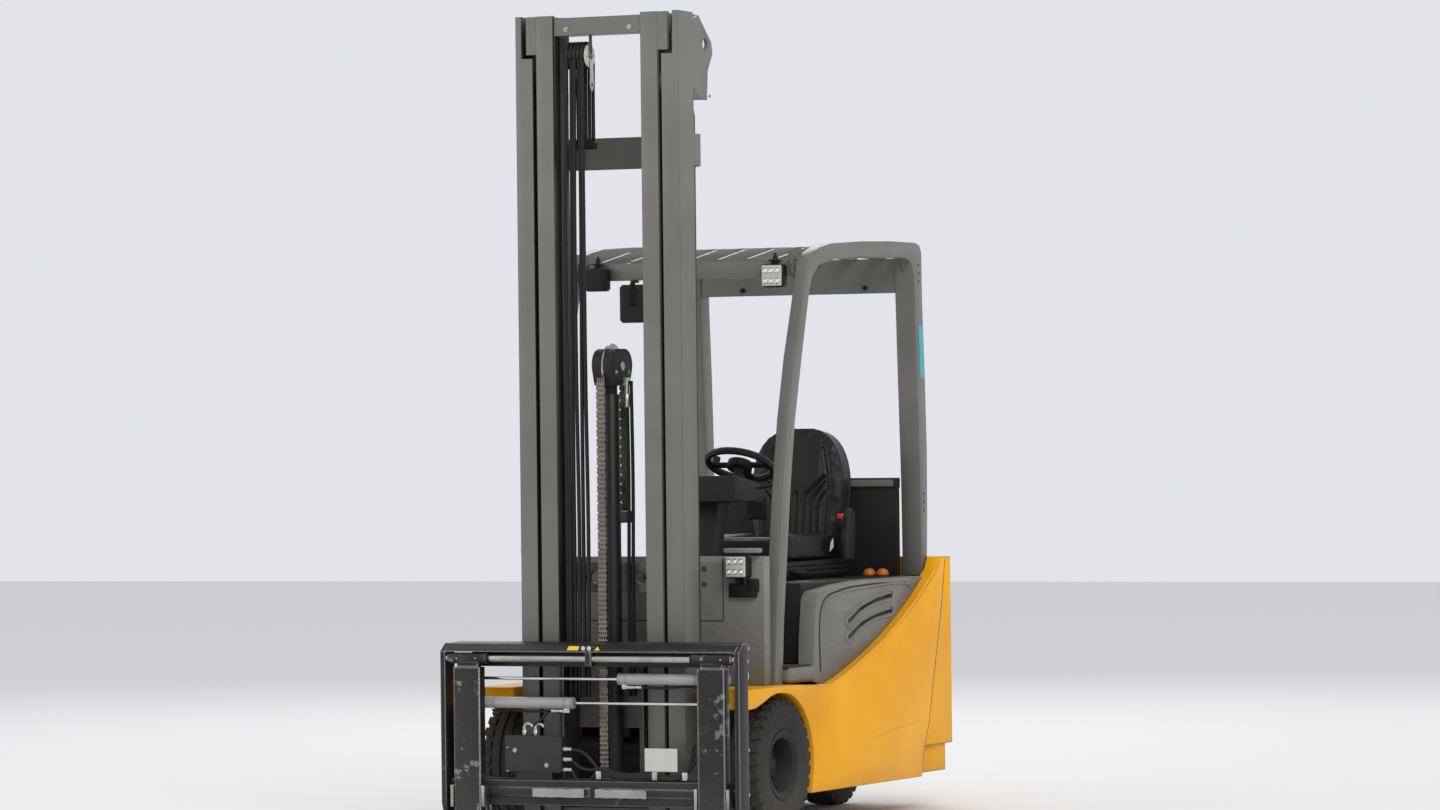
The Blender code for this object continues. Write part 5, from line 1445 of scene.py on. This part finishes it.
def make_cover_relief():
    """Beads round the vents, the raised field of each cover and its rubber step tread."""
    rims, fields, treads = [], [], []
    for drop in (0.0, SLOT_DROP):
        rims.append(closed_rim([(COVER_FACE + 0.0002, y, z - drop) for y, z in SLOT_RIM], 0.0042))
    field = [(0.424, 0.524), (0.424, 0.700), (0.437, 0.742), (0.470, 0.772), (0.587, 0.798), (0.806, 0.812),
             (1.190, 0.812), (1.215, 0.800)]
    line = hose([(COVER_FACE + 0.0002, y, z) for y, z in field], 0.0048, 5)
    fields.append(line)
    seam = hose([(COVER_FACE - 0.0008, y - 0.011, z + 0.008) for y, z in field[:-1]], 0.0030, 4)
    for step in range(9):
        x = 0.374 + 0.0125 * step
        treads.append(brick((x, 0.150, 0.5555), (x + 0.0075, 0.338, 0.5592), 0.001, 1))
    treads.append(brick((0.370, 0.144, 0.5550), (0.4855, 0.344, 0.5572), 0.001, 1))
    keep(paired(joined(rims + fields)), "cover_beads", "cover plastic", "chassis", smooth=60)
    keep(paired(seam), "cover_seams", "deep black", "chassis", smooth=60)
    keep(paired(joined(treads)), "step_treads", "step rubber", "chassis")


def make_panel_relief():
    """The pressed crease, the shoulder lip and the wheel arch lip of each side panel."""
    crease = hose([(PANEL_FACE - 0.0130, 0.600, 0.238), (PANEL_FACE - 0.0085, 0.760, 0.284),
                   (PANEL_FACE - 0.0075, 0.900, 0.303), (PANEL_FACE - 0.0075, 1.060, 0.316),
                   (PANEL_FACE - 0.0080, 1.190, 0.324), (PANEL_FACE - 0.0120, 1.260, 0.328)], 0.0100, 6)
    lip = hose([(PANEL_FACE - 0.004, y, z - 0.002) for y, z in SHOULDER], 0.0060, 5)
    keep(paired(joined([crease, lip])), "panel_beads", "yellow paint", "chassis", smooth=60)
    gap_line = []
    for z in (0.135, 0.206, 0.316, 0.420, 0.520, 0.620, 0.748, 0.890):
        edge = surface_at("side_panel_left", (PANEL_FACE - 0.010, 2.0, z), (0, -1, 0))
        gap_line.append((PANEL_FACE - 0.0030, edge.y + 0.0012, z))
    keep(paired(hose(gap_line, 0.0034, 2)), "panel_gaskets", "deep black", "chassis", smooth=60)


def make_cowl_relief():
    """Panel joints and a socket on the front cowl."""
    face = COWL_FRONT
    lines = []
    for x, low, high in ((0.180, 0.560, 0.900), (0.300, 0.720, 0.930), (-0.250, 0.560, 0.900)):
        lines.append(brick((x, face - 0.0010, low), (x + 0.003, face + 0.0005, high), 0))
    lines.append(brick((-0.250, face - 0.0010, 0.718), (0.300, face + 0.0005, 0.721), 0))
    keep(joined(lines), "cowl_joints", "deep black", "chassis", smooth=0)
    socket = brick((0.330, -0.0015, 0.800), (0.432, 0.0176, 0.848), 0.004)
    keep(socket, "cowl_socket", "deep black", "chassis")


class FORKLIFT_OT_body(bpy.types.Operator):
    """Makes the beads, creases, gaskets and treads of the side covers and panels"""

    bl_idname = "forklift.body"
    bl_label = "Body panels"

    def execute(self, context):
        make_cover_relief()
        make_panel_relief()
        make_cowl_relief()
        return {"FINISHED"}


# ---------------------------------------------------------------- seat

COVER_VOXEL = 0.007
STUFFING_PRESSURE = 4
STUFFING_FRAMES = 20
STUFFING_REACH = 0.012       # how far the stuffing may push the cover out
CHANNEL_DEPTH = 0.010
CHANNEL_WIDTH = 0.0065
CHANNEL_FALL = 2.718         # how fast a channel fades to its sides
BACK_LEAN = radians(-8)
CHANNEL_FACING = 0.3         # how squarely a face must look outward to be pressed in


def stuffed(piece):
    """The piece as a stuffed cover: remeshed, blown up by cloth simulation and smoothed."""
    applied(piece, "REMESH", mode="VOXEL", voxel_size=COVER_VOXEL)
    homes = [v.co.copy() for v in piece.data.vertices]
    cloth = piece.modifiers.new("Stuffing", "CLOTH")
    cloth.settings.use_pressure = True
    cloth.settings.uniform_pressure_force = STUFFING_PRESSURE
    cloth.settings.effector_weights.gravity = 0
    for frame_number in range(1, STUFFING_FRAMES + 1):
        bpy.context.scene.frame_set(frame_number)
    bpy.ops.object.modifier_apply(modifier=cloth.name)
    bpy.context.scene.frame_set(1)
    for vertex, home in zip(piece.data.vertices, homes):
        step = vertex.co - home
        if step.length > STUFFING_REACH:
            vertex.co = home + step * (STUFFING_REACH / step.length)
    return applied(piece, "SUBSURF", levels=1, render_levels=1)


def seam_distance(x, z, line):
    """Distance in a plane from a point to a line of points."""
    nearest = 1.0
    for (ax, az), (bx, bz) in zip(line, line[1:]):
        along = Vector((bx - ax, bz - az))
        share = max(0.0, min(1.0, Vector((x - ax, z - az)).dot(along) / along.length_squared))
        nearest = min(nearest, (Vector((x, z)) - Vector((ax, az)) - along * share).length)
    return nearest


def sewn(piece, lines, flat, push):
    """Presses sewn channels along the lines into the side of a cushion that faces against push."""
    push = Vector(push)
    shifts = []
    for vertex in piece.data.vertices:
        x, z = flat(vertex.co)
        near = min(seam_distance(x, z, line) for line in lines)
        pressed = near < CHANNEL_WIDTH * 3 and vertex.normal.dot(push) < -CHANNEL_FACING
        shifts.append(CHANNEL_DEPTH * CHANNEL_FALL ** (-(near / CHANNEL_WIDTH) ** 2) if pressed else 0.0)
    for vertex, shift in zip(piece.data.vertices, shifts):
        vertex.co += push * shift
    return piece


def make_seat_back():
    """The backrest: an egg-shaped shell with side bolsters, ribs low down and chevrons above them."""
    low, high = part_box("seat_back")
    middle = (low.x + high.x) / 2
    widths = [(0.26 * k / 8, 0.192 - 0.052 * (1 - k / 8) ** 2 - 0.030 * (k == 0)) for k in range(8)]
    widths += [(0.26 + 0.224 * sin(radians(t)), 0.192 * cos(radians(t)) ** 0.72) for t in range(0, 90, 9)]
    right = [(middle + w, low.z + h + 0.008) for h, w in widths]
    left = [(middle - w, low.z + h + 0.008) for h, w in reversed(widths)]
    front = low.y + 0.016
    body = drawn([(x, front, z) for x, z in right + left], (0, 0.060, 0))
    body = stuffed(body)
    for vertex in body.data.vertices:
        aside = abs(vertex.co.x - middle)
        if vertex.co.y < front + 0.03:
            vertex.co.y -= 0.016 * min(1.0, max(0.0, (aside - 0.085) / 0.05))
    ribs = [[(middle, low.z + 0.05), (middle, low.z + 0.235)]]
    for side in SIDES:
        for index in range(1, 4):
            x = middle + side * 0.028 * index
            bend = low.z + 0.245 - 0.012 * index
            ribs.append([(x, low.z + 0.055 + 0.004 * index), (x, bend - 0.030), (x + side * 0.010, bend),
                         (x + side * (0.030 + 0.055 / index), bend + 0.075 - 0.010 * index)])
        ribs.append([(middle + side * 0.118, low.z + 0.04), (middle + side * 0.125, low.z + 0.28),
                     (middle + side * 0.100, low.z + 0.40)])
    sewn(body, ribs, lambda p: (p.x, p.z), (0, 1, 0))
    foot = Vector((0, low.y + 0.012, low.z))
    lean = Matrix.Translation(foot) @ Matrix.Rotation(BACK_LEAN, 4, "X") @ Matrix.Translation(-foot)
    body.data.transform(lean)
    seat_back = keep(body, "seat_back_cover", "seat vinyl", "chassis", smooth=60)
    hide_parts("seat_back")
    rim = [(middle + s * w * 0.93, low.y + 0.078, low.z + 0.012 + h * 0.97)
           for s, plan in ((1, widths), (-1, widths[::-1])) for h, w in plan]
    shell = drawn(rim, (0, 0.014, 0), 0.006, 3)
    shell.data.transform(lean)
    keep(shell, "seat_back_shell", "dark plastic", "chassis")


def make_seat_cushion():
    """The seat cushion: rounded front corners, raised bolsters and sewn panels."""
    low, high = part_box("seat_cushion")
    middle = (low.x + high.x) / 2
    half = (high.x - low.x) / 2 - 0.010
    outline = []
    for x_side, y_mid, start in ((1, low.y + 0.090, -90), (-1, low.y + 0.090, 180)):
        for step in range(6):
            turn = radians(start + 90 * step / 5)
            outline.append((middle + x_side * (half - 0.075) + 0.075 * cos(turn), y_mid + 0.078 * sin(turn)))
    front_right, front_left = outline[:6], outline[6:]
    rear = [(middle + half - 0.010, high.y - 0.02), (middle + half - 0.040, high.y - 0.008),
            (middle - half + 0.040, high.y - 0.008), (middle - half + 0.010, high.y - 0.02)]
    plan = front_left + front_right + rear
    body = drawn([(x, y, low.z + 0.010) for x, y in plan], (0, 0, 0.056))
    body = stuffed(body)
    for vertex in body.data.vertices:
        aside = abs(vertex.co.x - middle)
        if vertex.co.z > low.z + 0.04:
            vertex.co.z += 0.020 * min(1.0, max(0.0, (aside - 0.095) / 0.055))
            vertex.co.z += 0.010 * min(1.0, max(0.0, (low.y + 0.14 - vertex.co.y) / 0.08))
    seams = [[(middle + side * 0.108, low.y + 0.03), (middle + side * 0.112, high.y - 0.04)]
             for side in SIDES]
    for step in range(4):
        y = low.y + 0.12 + 0.075 * step
        seams.append([(middle - 0.105, y - 0.012), (middle, y + 0.010), (middle + 0.105, y - 0.012)])
    sewn(body, seams, lambda p: (p.x, p.y), (0, 0, -1))
    cushion = keep(body, "seat_cushion_cover", "seat vinyl", "chassis", smooth=60)
    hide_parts("seat_cushion")


def make_seat_fittings():
    """The belt's buckle and reel, the cushion's tag, the suspension's lips and its lever."""
    low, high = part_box("seat_suspension")
    lips = []
    for z in (low.z + 0.014, low.z + 0.030, low.z + 0.046):
        lips.append(brick((low.x - 0.004, low.y - 0.004, z),
                          (high.x + 0.004, high.y + 0.002, z + 0.007), 0.003, 1))
    lips.append(brick((high.x - 0.002, low.y + 0.05, low.z + 0.020),
                      (high.x + 0.030, low.y + 0.14, low.z + 0.034), 0.005))
    keep(joined(lips), "suspension_lips", "deep black", "chassis")
    reel = ((1.060, 0.902), (1.135, 0.902), (1.150, 1.000), (1.144, 1.075), (1.118, 1.088), (1.092, 1.074),
            (1.066, 0.990))
    holder = drawn([(0.279, y, z) for y, z in reel], (0.026, 0, 0), 0.007, 3)
    keep(holder, "belt_reel", "dark plastic", "chassis")
    buckle = brick((0.268, 1.062, 1.020), (0.290, 1.090, 1.062), 0.005, 2)
    keep(buckle, "belt_buckle", "deep black", "chassis")
    button = brick((0.270, 1.060, 1.050), (0.288, 1.082, 1.069), 0.003, 2)
    keep(button, "belt_button", "red plastic", "chassis")
    flap = ((1.000, 0.934), (1.034, 0.950), (1.030, 0.982), (1.008, 0.966))
    tag = drawn([(0.2655, y, z) for y, z in flap], (0.0012, 0, 0))
    keep(tag, "cushion_tag", "blank white", "chassis", smooth=0)


class FORKLIFT_OT_seat(bpy.types.Operator):
    """Makes the stuffed seat with its ribs, belt and suspension"""

    bl_idname = "forklift.seat"
    bl_label = "Seat"

    def execute(self, context):
        make_seat_back()
        make_seat_cushion()
        make_seat_fittings()
        return {"FINISHED"}


# ---------------------------------------------------------------- stage

CAMERA_PLACE = Vector((8.604, -17.757, 1.361))
CAMERA_TURN = radians(25.048)
CAMERA_PITCH = radians(0.2875)
CAMERA_ROLL = radians(-0.6561)


def add_camera(lens):
    """The camera, far off and at chest height, looking at the forks and the truck's left side."""
    forward = Vector((-sin(CAMERA_TURN) * cos(CAMERA_PITCH), cos(CAMERA_TURN) * cos(CAMERA_PITCH),
                      sin(CAMERA_PITCH)))
    right = Vector((cos(CAMERA_TURN), sin(CAMERA_TURN), 0))
    up = right.cross(forward)
    tilted_right = right * cos(CAMERA_ROLL) + up * sin(CAMERA_ROLL)
    tilted_up = up * cos(CAMERA_ROLL) - right * sin(CAMERA_ROLL)
    data = bpy.data.cameras.new("Camera")
    data.lens = lens
    data.clip_end = 200
    camera = bpy.data.objects.new("Camera", data)
    bpy.context.scene.collection.objects.link(camera)
    rows = Matrix((tilted_right, tilted_up, -forward)).transposed()
    camera.matrix_world = Matrix.Translation(CAMERA_PLACE) @ rows.to_4x4()
    bpy.context.scene.camera = camera


def add_softbox(name, place, target, size, power, tint=(1, 1, 1)):
    """A large soft light at a place, aimed at a target."""
    data = bpy.data.lights.new(name, "AREA")
    data.shape = "RECTANGLE"
    data.size, data.size_y = size
    data.energy = power
    data.color = tint
    light = bpy.data.objects.new(name, data)
    bpy.context.scene.collection.objects.link(light)
    light.location = place
    light.rotation_euler = (Vector(target) - Vector(place)).to_track_quat("-Z", "Y").to_euler()


class FORKLIFT_OT_stage(bpy.types.Operator):
    """Sets the pale floor, the studio lights and the camera round the truck"""

    bl_idname = "forklift.stage"
    bl_label = "Stage"

    def execute(self, context):
        studio = context.scene.forklift_studio
        add_camera(studio.lens)
        deselect()
        bpy.ops.mesh.primitive_plane_add(size=60, location=(0, 0, -0.0005))
        floor = settle()
        floor.name = "Floor"
        material = bpy.data.materials.new("Studio floor")
        material.use_nodes = True
        shader = next(n for n in material.node_tree.nodes if n.type == "BSDF_PRINCIPLED")
        shader.inputs["Base Color"].default_value = (0.76, 0.76, 0.75, 1)
        shader.inputs["Roughness"].default_value = 0.75
        floor.data.materials.append(material)
        world = bpy.data.worlds.new("Studio sky")
        world.use_nodes = True
        sky = world.node_tree.nodes["Background"]
        sky.inputs["Color"].default_value = (0.93, 0.95, 1.0, 1)
        sky.inputs["Strength"].default_value = studio.sky_strength
        context.scene.world = world
        context.scene.view_settings.view_transform = "Standard"
        add_softbox("Key", (6.5, -6.5, 7.5), (0, 0, 1.0), (5, 5), studio.key_power, (1.0, 0.98, 0.95))
        add_softbox("Fill", (-8, -5, 4.5), (0, 0, 1.2), (6, 5), studio.key_power * 0.30)
        add_softbox("Rim", (-3, 8, 6.5), (0, 0, 1.2), (6, 4), studio.key_power * 0.45)
        return {"FINISHED"}


# ---------------------------------------------------------------- panel and running order

OPERATORS = (
    FORKLIFT_OT_materials,
    FORKLIFT_OT_frame,
    FORKLIFT_OT_wheels,
    FORKLIFT_OT_mast,
    FORKLIFT_OT_attachment,
    FORKLIFT_OT_cab,
    FORKLIFT_OT_body,
    FORKLIFT_OT_seat,
    FORKLIFT_OT_stage,
)
SETTINGS = {
    "forklift_paint": ForkliftPaint,
    "forklift_fittings": ForkliftFittings,
    "forklift_studio": ForkliftStudio,
}


class FORKLIFT_PT_panel(bpy.types.Panel):
    """Lists the truck's settings and the steps that dress it"""

    bl_idname = "FORKLIFT_PT_panel"
    bl_label = "Forklift"
    bl_space_type = "VIEW_3D"
    bl_region_type = "UI"
    bl_category = "Forklift"

    def draw(self, context):
        for name in SETTINGS:
            group = getattr(context.scene, name)
            box = self.layout.box()
            for label in group.bl_rna.properties.keys():
                if label not in ("rna_type", "name"):
                    box.prop(group, label)
        for operator in OPERATORS:
            self.layout.operator(operator.bl_idname)


def register():
    for kind in (*SETTINGS.values(), *OPERATORS, FORKLIFT_PT_panel):
        bpy.utils.register_class(kind)
    for name, kind in SETTINGS.items():
        setattr(bpy.types.Scene, name, PointerProperty(type=kind))


def unregister():
    for name in SETTINGS:
        delattr(bpy.types.Scene, name)
    for kind in reversed((*SETTINGS.values(), *OPERATORS, FORKLIFT_PT_panel)):
        bpy.utils.unregister_class(kind)


def main():
    register()
    for operator in OPERATORS:
        group, name = operator.bl_idname.split(".")
        getattr(getattr(bpy.ops, group), name)()


if __name__ == "__main__":
    main()
